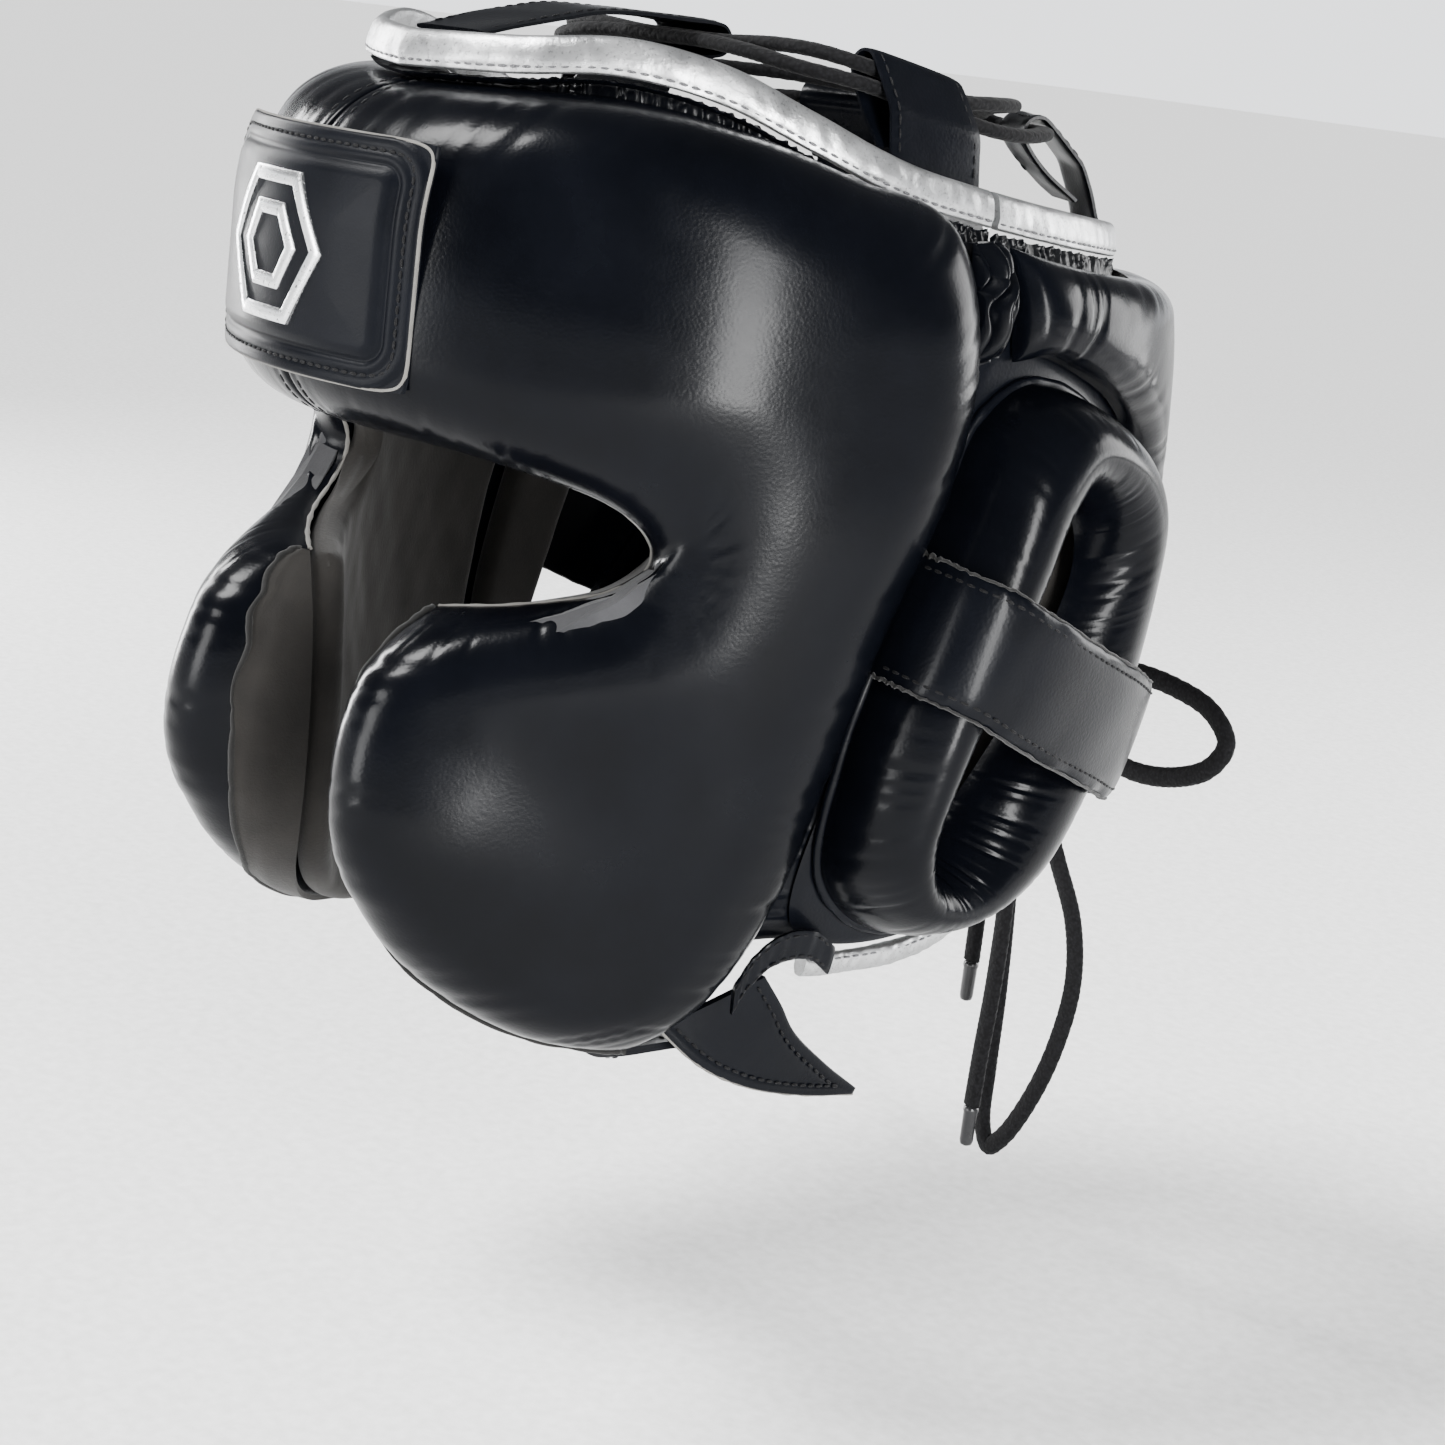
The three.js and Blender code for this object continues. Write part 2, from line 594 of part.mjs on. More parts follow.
// How far back the label's face lies at x and z from the middle of its lower half: round the head, and in at the top.
const labelBend = (x, z) => LABEL.curve * x * x + 3.4 * clamp01((z - 66) / 22) ** 2;

function labelPlate() {
  const side = (lift) => (u, v) => {
    const x = LABEL.width * (u - 0.5);
    const z = LABEL.bottom + (LABEL.top - LABEL.bottom) * v;
    return new THREE.Vector3(x, LABEL.back - lift + labelBend(x, z), z);
  };
  return slab(10, 5, side(LABEL.thickness), side(0));
}

// A plain raised hexagon outline standing for the label's foil print.
function labelEmblem() {
  const [outer, inner] = [20, 15.5];
  const corner = (radius, k) => [radius * Math.cos((Math.PI * k) / 3), radius * Math.sin((Math.PI * k) / 3)];
  return hoop(24, (t) => {
    const k = Math.floor(t * 6);
    const along = t * 6 - k;
    const at = (radius, lift) => {
      const [x0, z0] = corner(radius, k);
      const [x1, z1] = corner(radius, k + 1);
      const x = x0 + (x1 - x0) * along;
      const z = z0 + (z1 - z0) * along;
      const height = 0.5 * (LABEL.top + LABEL.bottom) + z;
      return new THREE.Vector3(x, LABEL.back - LABEL.thickness - lift + labelBend(x, height), height);
    };
    return [at(outer, 1), at(inner, 1), at(inner, 0.4), at(outer, 0.4)];
  });
}

// ---------- chin ----------

// The keeper: an arched leather strip over the lower end of the side seam.
const KEEPER_LINE = [[58.8, -109, 19], [61.6, -101.6, 18.5], [66.6, -96, 17.6], [73, -95.4, 17], [79.5, -101, 16]];
const KEEPER_WIDTH = 8;

function chinKeeper() {
  const line = new THREE.CatmullRomCurve3(KEEPER_LINE.map((p) => new THREE.Vector3(...p)));
  const surface = (lift) => (u, v) => {
    const p = line.getPoint(u);
    return onHead(p.x, p.y + KEEPER_WIDTH * (v - 0.5), p.z + lift);
  };
  return slab(12, 1, surface(1.8), surface(0));
}

// The anchor: a leather strip inside the cheek's lower edge, turned inwards under it.
const ANCHOR_LINE = [[-104, 1], [-114, 1], [-121.4, 0.6], [-124.6, -2.6], [-125.6, -10]];

function chinAnchor() {
  const line = through(ANCHOR_LINE);
  const surface = (lift) => (u, v) => {
    const p = line(u);
    const bent = smoothstep(u, 0.45, 0.85);
    return onHead(43 + 14 * v, p.x - lift * bent, p.y + lift * (1 - bent));
  };
  return slab(10, 4, surface(0.7), surface(-0.7));
}

const STRAP_FRONT_Y = -62;
const STRAP_BACK_Y = -38;
const CHIN_LINE = [
  [-55, -128], [-50, -128.8], [-38, -130.2], [-19, -132], [0, -132.6], [20, -132.2], [42, -130.8], [55, -129.8],
  [62.5, -127],
];

// The chin strap, from where it is sewn to the right cheek, under the chin to the left anchor.
function chinStrap() {
  const line = through(CHIN_LINE);
  const surface = (lift) => (u, v) => {
    const p = line(u);
    return new THREE.Vector3(p.x, STRAP_FRONT_Y + (STRAP_BACK_Y - STRAP_FRONT_Y) * v, p.y + lift);
  };
  return slab(18, 1, surface(1.1), surface(-1.1));
}

// A fastening patch: hook on the strap, loop on the left anchor above it.
function fasteningPatch(z) {
  const patch = new THREE.BoxGeometry(9, 18, 0.7);
  patch.translate(46.5, -50, z);
  return patch;
}

// The pointed tab at the strap's end: its root runs up and back, and it tapers down to a point behind.
const TAB_UPPER = [[73, -26, -107], [73.6, -20, -115], [74, -15, -122.6], [74, -3, -133], [73.6, 9.6, -142]];
const TAB_LOWER = [[66.2, -52.4, -120], [70.6, -42, -129.4], [73, -29, -136], [74, -10, -141], [73.6, 9, -143.8]];

function chinTab() {
  const [upper, lower] = [TAB_UPPER, TAB_LOWER].map(
    (line) => new THREE.CatmullRomCurve3(line.map((p) => new THREE.Vector3(...p))),
  );
  const surface = (out) => (u, v) => {
    const p = lower.getPoint(u).lerp(upper.getPoint(u), v);
    p.x += 1.1 * out;
    return p;
  };
  return slab(10, 3, surface(1), surface(-1));
}

// ---------- materials ----------

const finish = (color, roughness, metalness = 0) => new THREE.MeshStandardMaterial({ color, roughness, metalness });
const LEATHER_BLACK = finish(0x0b0c0e, 0.32);
const SUEDE = finish(0x1d1b1a, 0.9);
const SILVER = finish(0xc3c6c9, 0.35, 0.8);
const FOAM = finish(0x2b2b2d, 0.95);
const LACE_BLACK = finish(0x0d0d0e, 0.85);
const FOIL = finish(0xd6d8da, 0.3, 0.9);
const TIP_PLASTIC = finish(0x101012, 0.35);
const HOOK_LOOP = finish(0x131314, 0.95);

// ---------- assembly ----------

const group = new THREE.Group();

function addTo(parent, name, geometry, material) {
  const mesh = new THREE.Mesh(geometry, material);
  mesh.name = name;
  parent.add(mesh);
}

for (const side of ["left", "right"]) {
  const half = new THREE.Group();
  if (side === "right") half.scale.x = -1;
  group.add(half);
  const add = (name, geometry, material) => addTo(half, `${name}_${side}`, geometry, material);
  add("front_cover", coverOf(frontPanel, 20, 10, denseFarEnd, denseEnds), LEATHER_BLACK);
  add("front_foam", foamOf(frontPanel, 16, 8, denseFarEnd, denseEnds), FOAM);
  add("front_lining", frontLining(), SUEDE);
  add("rear_cover", coverOf(rearPanel, 14, 6, denseEnds, denseEnds), LEATHER_BLACK);
  add("rear_foam", foamOf(rearPanel, 14, 6, denseEnds, denseEnds), FOAM);
  add("flap_backing", flapLayer(24, ...BACKING), LEATHER_BLACK);
  add("flap_lining", flapLayer(24, LINING_INSIDE, LINING_OUTSIDE), SUEDE);
  add("ear_ring_cover", ringCover(), LEATHER_BLACK);
  add("ear_ring_foam", ringFoam(), FOAM);
  add("ear_strap", earStrap(), LEATHER_BLACK);
  add("side_bellows", bellows(), LEATHER_BLACK);
  add("crown_band", crownBand(98.6, 171, 9), LEATHER_BLACK);
  add("crown_binding", crownBinding(98.6, 171, 9), SILVER);
  add("lower_binding", lowerBinding(), SILVER);
  add("crown_tab_side", crownTab(TABS.side), LEATHER_BLACK);
  add("crown_tab_rear", crownTab(TABS.rear), LEATHER_BLACK);
  add("crown_lace", crownLace(), LACE_BLACK);
  ["upper", "middle", "lower"].forEach((level, i) => {
    add(`lace_loop_${level}`, laceLoop(LOOP_HEIGHTS[i]), LEATHER_BLACK);
  });
  add("rear_lacing", rearLacing(), LACE_BLACK);
}
addTo(group, "chin_anchor", chinAnchor(), LEATHER_BLACK);
addTo(group, "crown_band_front", crownBand(-97, 97, 26), LEATHER_BLACK);
addTo(group, "crown_binding_front", crownBinding(-97, 97, 26), SILVER);
addTo(group, "crown_tab_front", crownTab(TABS.front), LEATHER_BLACK);
addTo(group, "label_plate", labelPlate(), LEATHER_BLACK);
addTo(group, "label_emblem", labelEmblem(), FOIL);
addTo(group, "chin_keeper", chinKeeper(), LEATHER_BLACK);
addTo(group, "chin_strap", chinStrap(), LEATHER_BLACK);
addTo(group, "chin_loop_patch", fasteningPatch(-126.9), HOOK_LOOP);
addTo(group, "chin_hook_patch", fasteningPatch(-127.9), HOOK_LOOP);
addTo(group, "chin_tab", chinTab(), LEATHER_BLACK);
addTo(group, "bow_knot", bowKnot(), LACE_BLACK);
addTo(group, "bow_loop", cordTube(BOW_LOOP, 20), LACE_BLACK);
addTo(group, "long_loop", cordTube(LONG_LOOP, 28), LACE_BLACK);
for (const [name, points] of Object.entries(TAILS)) {
  addTo(group, `lace_tail_${name}`, cordTube(points, 12), LACE_BLACK);
  addTo(group, `lace_tip_${name}`, laceTip(points[points.length - 1]), TIP_PLASTIC);
}

export default group;
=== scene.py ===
"""Laced boxing headgear: the visible leather, lining, straps, laces and trim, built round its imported
solids."""

import math

import bpy
import numpy as np
from mathutils import Matrix, Vector


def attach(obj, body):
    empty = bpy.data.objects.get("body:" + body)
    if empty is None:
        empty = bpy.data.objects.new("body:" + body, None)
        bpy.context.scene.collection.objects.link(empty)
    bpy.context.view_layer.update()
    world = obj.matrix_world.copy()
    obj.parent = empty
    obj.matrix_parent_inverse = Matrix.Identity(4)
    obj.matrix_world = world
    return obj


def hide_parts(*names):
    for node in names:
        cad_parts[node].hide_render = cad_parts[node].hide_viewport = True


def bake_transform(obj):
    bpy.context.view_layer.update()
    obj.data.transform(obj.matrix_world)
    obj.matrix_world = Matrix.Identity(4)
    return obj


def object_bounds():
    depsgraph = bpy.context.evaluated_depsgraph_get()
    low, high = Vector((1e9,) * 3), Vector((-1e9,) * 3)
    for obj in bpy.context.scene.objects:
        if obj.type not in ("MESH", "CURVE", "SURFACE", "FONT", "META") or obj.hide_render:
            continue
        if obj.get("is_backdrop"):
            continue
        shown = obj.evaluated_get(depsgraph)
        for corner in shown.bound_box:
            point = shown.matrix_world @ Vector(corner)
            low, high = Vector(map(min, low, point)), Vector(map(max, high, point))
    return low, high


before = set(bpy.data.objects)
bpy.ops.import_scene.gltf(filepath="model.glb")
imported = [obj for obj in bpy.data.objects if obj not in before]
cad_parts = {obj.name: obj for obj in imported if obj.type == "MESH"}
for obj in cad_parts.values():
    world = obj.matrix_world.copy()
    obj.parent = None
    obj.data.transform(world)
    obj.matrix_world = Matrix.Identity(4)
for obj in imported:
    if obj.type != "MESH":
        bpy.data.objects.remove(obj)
CAD_BOX = [list(corner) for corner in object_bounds()]

bl_info = {
    "name": "Laced Boxing Headgear",
    "version": (1, 0, 0),
    "blender": (4, 5, 0),
    "location": "3D View > Sidebar > Headgear",
    "description": "Builds a padded leather boxing headgear with laces, straps and silver trim",
    "category": "Add Mesh",
}

MM = 0.001
SIDES = {"left": 1.0, "right": -1.0}
TAU = 2 * np.pi


# ---------- curves and the head form (all lengths in millimetres) ----------


def centripetal(points, t, closed=False):
    """Points on a smooth curve: in each span a cubic whose end slopes are weighted by the square root of the
    distances between the given points. t runs from 0 to 1 with an equal share for each span."""
    p = np.asarray(points, float)
    t = np.asarray(t, float)
    spans = len(p) if closed else len(p) - 1
    s = (t % 1.0 if closed else np.clip(t, 0, 1)) * spans
    i = np.minimum(s.astype(int), spans - 1)
    w = (s - i)[..., None]
    if closed:
        q = [p[(i + k) % len(p)] for k in (-1, 0, 1, 2)]
    else:
        longer = np.vstack([2 * p[0] - p[1], p, 2 * p[-1] - p[-2]])
        q = [longer[i + k] for k in range(4)]
    d = [np.maximum(np.sum((b - a) ** 2, -1, keepdims=True) ** 0.25, 1e-3) for a, b in zip(q, q[1:])]
    rise1 = ((q[1] - q[0]) / d[0] - (q[2] - q[0]) / (d[0] + d[1]) + (q[2] - q[1]) / d[1]) * d[1]
    rise2 = ((q[2] - q[1]) / d[1] - (q[3] - q[1]) / (d[1] + d[2]) + (q[3] - q[2]) / d[2]) * d[1]
    step = q[2] - q[1]
    return q[1] + w * (rise1 + w * (3 * step - 2 * rise1 - rise2 + w * (rise1 + rise2 - 2 * step)))


def through(points, t):
    """Points on a smooth curve: in each span a cubic whose end slopes are half the step between its
    neighbours."""
    p = np.asarray(points, float)
    s = np.clip(np.asarray(t, float), 0, 1) * (len(p) - 1)
    i = np.minimum(s.astype(int), len(p) - 2)
    w = (s - i)[..., None]
    a, b, c, d = (p[np.clip(i + k, 0, len(p) - 1)] for k in (-1, 0, 1, 2))
    m, n = 0.5 * (c - a), 0.5 * (d - b)
    return b + w * (m + w * (3 * (c - b) - 2 * m - n + w * (m + n - 2 * (c - b))))


def value_at(pairs, x):
    """The second number at x on a smooth curve through pairs whose first numbers rise."""
    line = through(pairs, np.linspace(0, 1, 400))
    return np.interp(x, line[:, 0], line[:, 1])


def bell(x, width):
    """A smooth hump of height 1: e to the minus square of x over width."""
    return np.exp(-((x / width) ** 2))


def ease(x, low, high):
    """0 below low, 1 above high, and three squares less two cubes between."""
    t = np.clip((x - low) / (high - low), 0, 1)
    return t * t * (3 - 2 * t)


def unit(v):
    return v / np.maximum(np.linalg.norm(v, axis=-1, keepdims=True), 1e-9)


HEAD_WIDTH, HEAD_FRONT, HEAD_REAR, HEAD_POWER, BELT_Z = 77.0, 99.0, 97.0, 2.2, 10.0
SIDE_TAPER, FRONT_TAPER, REAR_TAPER = (226.0, 294.0), (276.0, 700.0), (239.0, 246.0)
SEAM, FLAP_SEAM = 12.0, 14.2


def on_head(phi, z, h):
    """A point off the head form, which is a superellipse at each height that narrows with the square of the
    distance from its belt. phi is in degrees from the front towards the wearer's left, and h along the
    level normal."""
    phi, z, h = np.broadcast_arrays(np.asarray(phi, float), np.asarray(z, float), np.asarray(h, float))
    t = z - BELT_Z
    s, c = np.sin(np.radians(phi)), np.cos(np.radians(phi))
    taper = lambda pair: 1 - (t / np.where(t > 0, pair[0], pair[1])) ** 2
    a = HEAD_WIDTH * taper(SIDE_TAPER)
    b = np.where(c > 0, HEAD_FRONT * taper(FRONT_TAPER), HEAD_REAR * taper(REAR_TAPER))
    n = HEAD_POWER
    r = (np.abs(s / a) ** n + np.abs(c / b) ** n) ** (-1 / n)
    x, y = r * s, -r * c
    nx, ny = np.sign(x) * np.abs(x) ** (n - 1) / a**n, np.sign(y) * np.abs(y) ** (n - 1) / b**n
    k = h / np.hypot(nx, ny)
    return np.stack([x + nx * k, y + ny * k, z], -1)


def waves(x, y, seed, count=7, wave=(6.0, 20.0)):
    """A sum of count sine waves over x and y, with seeded directions, lengths between the two in wave, and
    phases, scaled to about -1 to 1."""
    pick = np.random.default_rng(seed)
    total = np.zeros(np.broadcast(x, y).shape)
    for _ in range(count):
        angle, length, phase = pick.uniform(0, TAU), pick.uniform(*wave), pick.uniform(0, TAU)
        total += np.sin(TAU * (x * np.cos(angle) + y * np.sin(angle)) / length + phase)
    return total / (0.6 * count)


def puckers(s, seed, pitch=6.0):
    """Irregular gathers along a length s: the positive part, squared, of a sine whose phase wanders."""
    pick = np.random.default_rng(seed)
    a, b, c = pick.uniform(0, TAU, 3)
    wander = 2.1 * np.sin(TAU * s / (4.3 * pitch) + a) + 1.3 * np.sin(TAU * s / (2.3 * pitch) + b)
    phase = TAU * s / pitch + wander
    return np.maximum(np.sin(phase), 0) ** 2 * (0.65 + 0.35 * np.sin(TAU * s / (3.1 * pitch) + c))


def crease(points, lines, depth, width):
    """How far creases cut into points: depth times a hump of the distance to each line, fading at its two
    ends."""
    cut = np.zeros(points.shape[:-1])
    for line in lines:
        middle = line.mean(0)
        reach = np.linalg.norm(line - middle, axis=-1).max() + 4 * width
        near = np.linalg.norm(points - middle, axis=-1) < reach
        if not near.any():
            continue
        gap = np.linalg.norm(points[near][:, None] - line[None], axis=-1)
        nearest = gap.argmin(1)
        fade = np.sin(np.pi * (nearest + 0.5) / len(line)) ** 0.5
        cut[near] = np.maximum(cut[near], depth * fade * bell(gap.min(1), width))
    return cut


# ---------- meshes ----------


def quads(index):
    """Faces of a grid of point numbers."""
    return np.stack([index[:-1, :-1], index[1:, :-1], index[1:, 1:], index[:-1, 1:]], -1).reshape(-1, 4)


def shell(outer, inner):
    """A closed solid between two grids of points of one shape, with a wall of faces round the rim."""
    n, m = outer.shape[:2]
    index = np.arange(n * m).reshape(n, m)
    rim = np.concatenate([index[:, 0], index[-1, 1:], index[-2::-1, -1], index[0, -2:0:-1]])
    after = np.roll(rim, -1)
    walls = np.stack([after, rim, rim + n * m, after + n * m], 1)
    faces = np.concatenate([quads(index), quads(index)[:, ::-1] + n * m, walls])
    return np.concatenate([outer.reshape(-1, 3), inner.reshape(-1, 3)]), faces, None


def hoop(sections):
    """A closed ring of closed sections: a grid of points that joins up both ways."""
    n, m = sections.shape[:2]
    index = np.arange(n * m).reshape(n, m)
    index = np.vstack([index, index[:1]])
    return sections.reshape(-1, 3), quads(np.hstack([index, index[:, :1]])), None


def sweep(path, normal, profile):
    """A profile carried along a path: each section's corners lie at profile's two numbers along the side,
    which is square to the path and the given normal, and along the up direction. The ends are closed by a
    fan to a middle point."""
    n, m = len(path), profile.shape[-2]
    ahead = unit(np.gradient(path, axis=0))
    side = unit(np.cross(ahead, normal))
    up = np.cross(side, ahead)
    profile = np.broadcast_to(profile, (n, m, 2))
    rings = path[:, None] + profile[..., :1] * side[:, None] + profile[..., 1:] * up[:, None]
    points = np.concatenate([rings.reshape(-1, 3), rings[:1].mean(1), rings[-1:].mean(1)])
    index = np.arange(n * m).reshape(n, m)
    faces = quads(np.hstack([index, index[:, :1]]))
    first, last = index[0], index[-1]
    fans = np.concatenate([
        np.stack([np.roll(first, -1), first, np.full(m, n * m)], 1),
        np.stack([last, np.roll(last, -1), np.full(m, n * m + 1)], 1),
    ])
    return points, faces, fans


def ring_profile(half_width, half_height, corners=16, power=1.0):
    """Corners of a rounded section: cosine and sine of an angle, each to a power, times its half sizes."""
    a = TAU * np.arange(corners) / corners
    c, s = np.cos(a), np.sin(a)
    across, up = np.sign(c) * np.abs(c) ** power, np.sign(s) * np.abs(s) ** power
    return np.stack([half_width * across, half_height * up], -1)


def evenly(line, pitch):
    """Points at equal steps of about pitch along a line of points."""
    length = np.concatenate([[0], np.cumsum(np.linalg.norm(np.diff(line, axis=0), axis=1))])
    count = max(3, int(round(length[-1] / pitch)) + 1)
    at = np.linspace(0, length[-1], count)
    return np.stack([np.interp(at, length, line[:, k]) for k in range(line.shape[1])], -1)


def add_mesh(name, made, material, mirror=1.0, sharp=50):
    """A mesh object from points in millimetres and faces. With mirror -1 the points are reflected in the
    middle plane. Every face is turned round when the solid would enclose a negative volume."""
    points, faces, fans = made
    points = points * np.array([mirror, 1, 1]) * MM
    fans = np.zeros((0, 3), int) if fans is None else fans
    corners = np.concatenate([faces[:, [0, 1, 2]], faces[:, [0, 2, 3]], fans])
    a, b, c = (points[corners[:, k]] for k in range(3))
    if np.einsum("ij,ij->i", a, np.cross(b, c)).sum() < 0:
        faces, fans = faces[:, ::-1], fans[:, ::-1]
    mesh = bpy.data.meshes.new(name)
    mesh.vertices.add(len(points))
    mesh.vertices.foreach_set("co", points.ravel())
    mesh.loops.add(faces.size + fans.size)
    mesh.loops.foreach_set("vertex_index", np.concatenate([faces.ravel(), fans.ravel()]).astype(np.int32))
    mesh.polygons.add(len(faces) + len(fans))
    starts = np.concatenate([np.arange(len(faces)) * 4, faces.size + np.arange(len(fans)) * 3])
    mesh.polygons.foreach_set("loop_start", starts.astype(np.int32))
    mesh.update(calc_edges=True)
    mesh.polygons.foreach_set("use_smooth", np.ones(len(mesh.polygons), bool))
    mesh.set_sharp_from_angle(angle=math.radians(sharp))
    piece = bpy.data.objects.new(name, mesh)
    bpy.context.scene.collection.objects.link(piece)
    mesh.materials.append(finish(material))
    return piece


def place(piece, body, slot, *nodes):
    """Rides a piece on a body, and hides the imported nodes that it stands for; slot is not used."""
    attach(piece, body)
    if nodes:
        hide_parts(*nodes)
    return piece


def make(name, made, material, body, slot, *nodes, mirror=1.0, sharp=50):
    """A mesh object made and placed on its body, with the imported nodes that it stands for hidden; slot is
    not used.
    """
    return place(add_mesh(name, made, material, mirror, sharp), body, slot, *nodes)


def stitches(
    name, lines, body, slot, material="black_thread", mirror=1.0, pitch=None, length=2.5, thread=0.42,
):
    """Sewing thread along lines of points, each line given with its outward normals: one lens-shaped stitch
    for each pitch, whose width and height follow the root of one less the square of the place along it."""
    ring = np.stack([np.cos(TAU * np.arange(6) / 6), np.sin(TAU * np.arange(6) / 6)], -1)
    along = np.array([-0.8, -0.3, 0.3, 0.8])
    swell = np.sqrt(1 - along**2)
    section = thread * np.tile(ring, (4, 1)) * np.repeat(swell, 6)[:, None]
    local = np.concatenate([
        np.stack([np.repeat(along * length / 2, 6), *section.T], 1),
        [[-length / 2, 0, -0.1], [length / 2, 0, -0.1]],
    ])
    index = np.arange(24).reshape(4, 6)
    faces = quads(np.hstack([index, index[:, :1]]))
    fans = np.concatenate([
        np.stack([np.roll(index[0], -1), index[0], np.full(6, 24)], 1),
        np.stack([index[3], np.roll(index[3], -1), np.full(6, 25)], 1),
    ])
    centres, aheads, ups = [], [], []
    for line, normals in lines:
        both = evenly(np.hstack([line, normals]), pitch or settings().stitch_pitch)
        middle = 0.5 * (both[1:] + both[:-1])
        centres.append(middle[:, :3])
        aheads.append(unit(np.diff(both[:, :3], axis=0)))
        ups.append(unit(middle[:, 3:]))
    centre, ahead, up = (np.concatenate(x) for x in (centres, aheads, ups))
    side = unit(np.cross(ahead, up))
    up = np.cross(side, ahead)
    points = centre[:, None] + np.einsum("kc,ncx->nkx", local, np.stack([ahead, side, up], 1))
    shift = 26 * np.arange(len(centre))[:, None, None]
    made = (points.reshape(-1, 3), (faces[None] + shift).reshape(-1, 4), (fans[None] + shift).reshape(-1, 3))
    return make(name, made, material, body, slot, mirror=mirror)


def head_line(line, h):
    """A line of [phi, z] pairs at height h off the head form, with its outward normals."""
    base = on_head(line[:, 0], line[:, 1], h)
    return base, unit(on_head(line[:, 0], line[:, 1], h + 1) - base)


# ---------- finishes ----------


class Nodes:
    """A material's node tree, with short ways to add and join nodes."""

    def __init__(self, name):
        self.material = bpy.data.materials.new(f"{name}_finish")
        self.material.use_nodes = True
        self.tree = self.material.node_tree
        self.shader = next(n for n in self.tree.nodes if n.type == "BSDF_PRINCIPLED")
        self.coords = self.tree.nodes.new("ShaderNodeTexCoord").outputs["Object"]

    def add(self, kind, inputs=(), **settings):
        node = self.tree.nodes.new("ShaderNode" + kind)
        for key, value in settings.items():
            setattr(node, key, value)
        for key, value in dict(inputs).items():
            if isinstance(value, bpy.types.NodeSocket):
                self.tree.links.new(value, node.inputs[key])
            else:
                node.inputs[key].default_value = value
        return node

    def set(self, **sockets):
        for key, value in sockets.items():
            socket = self.shader.inputs[key.replace("_", " ")]
            if isinstance(value, bpy.types.NodeSocket):
                self.tree.links.new(value, socket)
            else:
                socket.default_value = value

    def noise(self, scale, detail=3.0, rough=0.55):
        inputs = {"Vector": self.coords, "Scale": scale, "Detail": detail, "Roughness": rough}
        return self.add("TexNoise", inputs).outputs["Fac"]

    def cells(self, scale, feature="SMOOTH_F1"):
        inputs = {"Vector": self.coords, "Scale": scale}
        return self.add("TexVoronoi", inputs, feature=feature).outputs["Distance"]

    def remap(self, value, low, high, to_low, to_high):
        inputs = {"Value": value, "From Min": low, "From Max": high, "To Min": to_low, "To Max": to_high}
        return self.add("MapRange", inputs).outputs["Result"]

    def colours(self, value, *stops):
        ramp = self.add("ValToRGB", {"Fac": value})
        elements = ramp.color_ramp.elements
        for _ in range(len(stops) - 2):
            elements.new(0.5)
        for element, (at, colour) in zip(elements, stops):
            element.position = at
            element.color = (*colour, 1)
        return ramp.outputs["Color"]

    def bump(self, *layers):
        """Layers of (height, strength, distance in metres), each bumped on top of the one before."""
        normal = None
        for height, strength, distance in layers:
            inputs = {"Height": height, "Strength": strength, "Distance": distance}
            if normal is not None:
                inputs["Normal"] = normal
            normal = self.add("Bump", inputs).outputs["Normal"]
        self.set(Normal=normal)


def shade(colour, factor):
    return tuple(min(1.0, c * factor) for c in colour)


def leather(name, colour, rough, pebble, depth, coat):
    """Grained leather: rounded cells for the pebble, finer noise in it, and slow noise for the way the
    finish varies."""
    n = Nodes(name)
    slow, fine, cells = n.noise(38, 4), n.noise(900, 3), n.cells(1000 / pebble)
    n.set(
        Base_Color=n.colours(slow, (0.3, shade(colour, 0.8)), (0.7, shade(colour, 1.3))),
        Roughness=n.remap(slow, 0.3, 0.7, rough - 0.05, rough + 0.07),
        Coat_Weight=coat,
        Coat_Roughness=0.16,
        Specular_IOR_Level=0.07,
    )
    n.bump((slow, 0.25, 0.0006), (cells, depth, 0.00007), (fine, 0.4 * depth, 0.00003))
    return n.material


def suede(name, colour):
    """Napped suede: soft mottled noise, a strong sheen and a fine furry bump."""
    n = Nodes(name)
    slow, nap = n.noise(60, 4), n.noise(1500, 4, 0.7)
    n.set(
        Base_Color=n.colours(slow, (0.3, shade(colour, 0.75)), (0.7, shade(colour, 1.35))),
        Roughness=0.95,
        Specular_IOR_Level=0.2,
        Sheen_Weight=0.12,
        Sheen_Roughness=0.5,
    )
    n.bump((slow, 0.3, 0.001), (nap, 0.6, 0.0003))
    return n.material


def metallic_leather(name, colour):
    """Silver-coated leather: a metal face crinkled by ridged noise, with dull specks where it is rubbed."""
    n = Nodes(name)
    crinkle, speck, slow = n.noise(420, 5, 0.65), n.noise(1300, 2), n.noise(90, 3)
    n.set(
        Base_Color=n.colours(speck, (0.28, shade(colour, 0.55)), (0.42, colour), (0.8, shade(colour, 1.08))),
        Metallic=0.92,
        Roughness=n.remap(slow, 0.3, 0.7, 0.28, 0.46),
    )
    n.bump((slow, 0.3, 0.001), (crinkle, 0.45, 0.0004))
    return n.material


def woven(name, colour, rough=0.85, pitch=0.9):
    """Woven cord or tape: rounded cells for the yarns over a fuzzy noise."""
    n = Nodes(name)
    fuzz = n.noise(2200, 3, 0.7)
    cells = n.cells(1000 / pitch)
    n.set(
        Base_Color=n.colours(cells, (0.1, shade(colour, 1.7)), (0.6, shade(colour, 0.6))),
        Roughness=rough,
        Specular_IOR_Level=0.12,
        Sheen_Weight=0.04,
        Sheen_Roughness=0.4,
    )
    n.bump((cells, 0.6, 0.0003), (fuzz, 0.4, 0.0002))
    return n.material


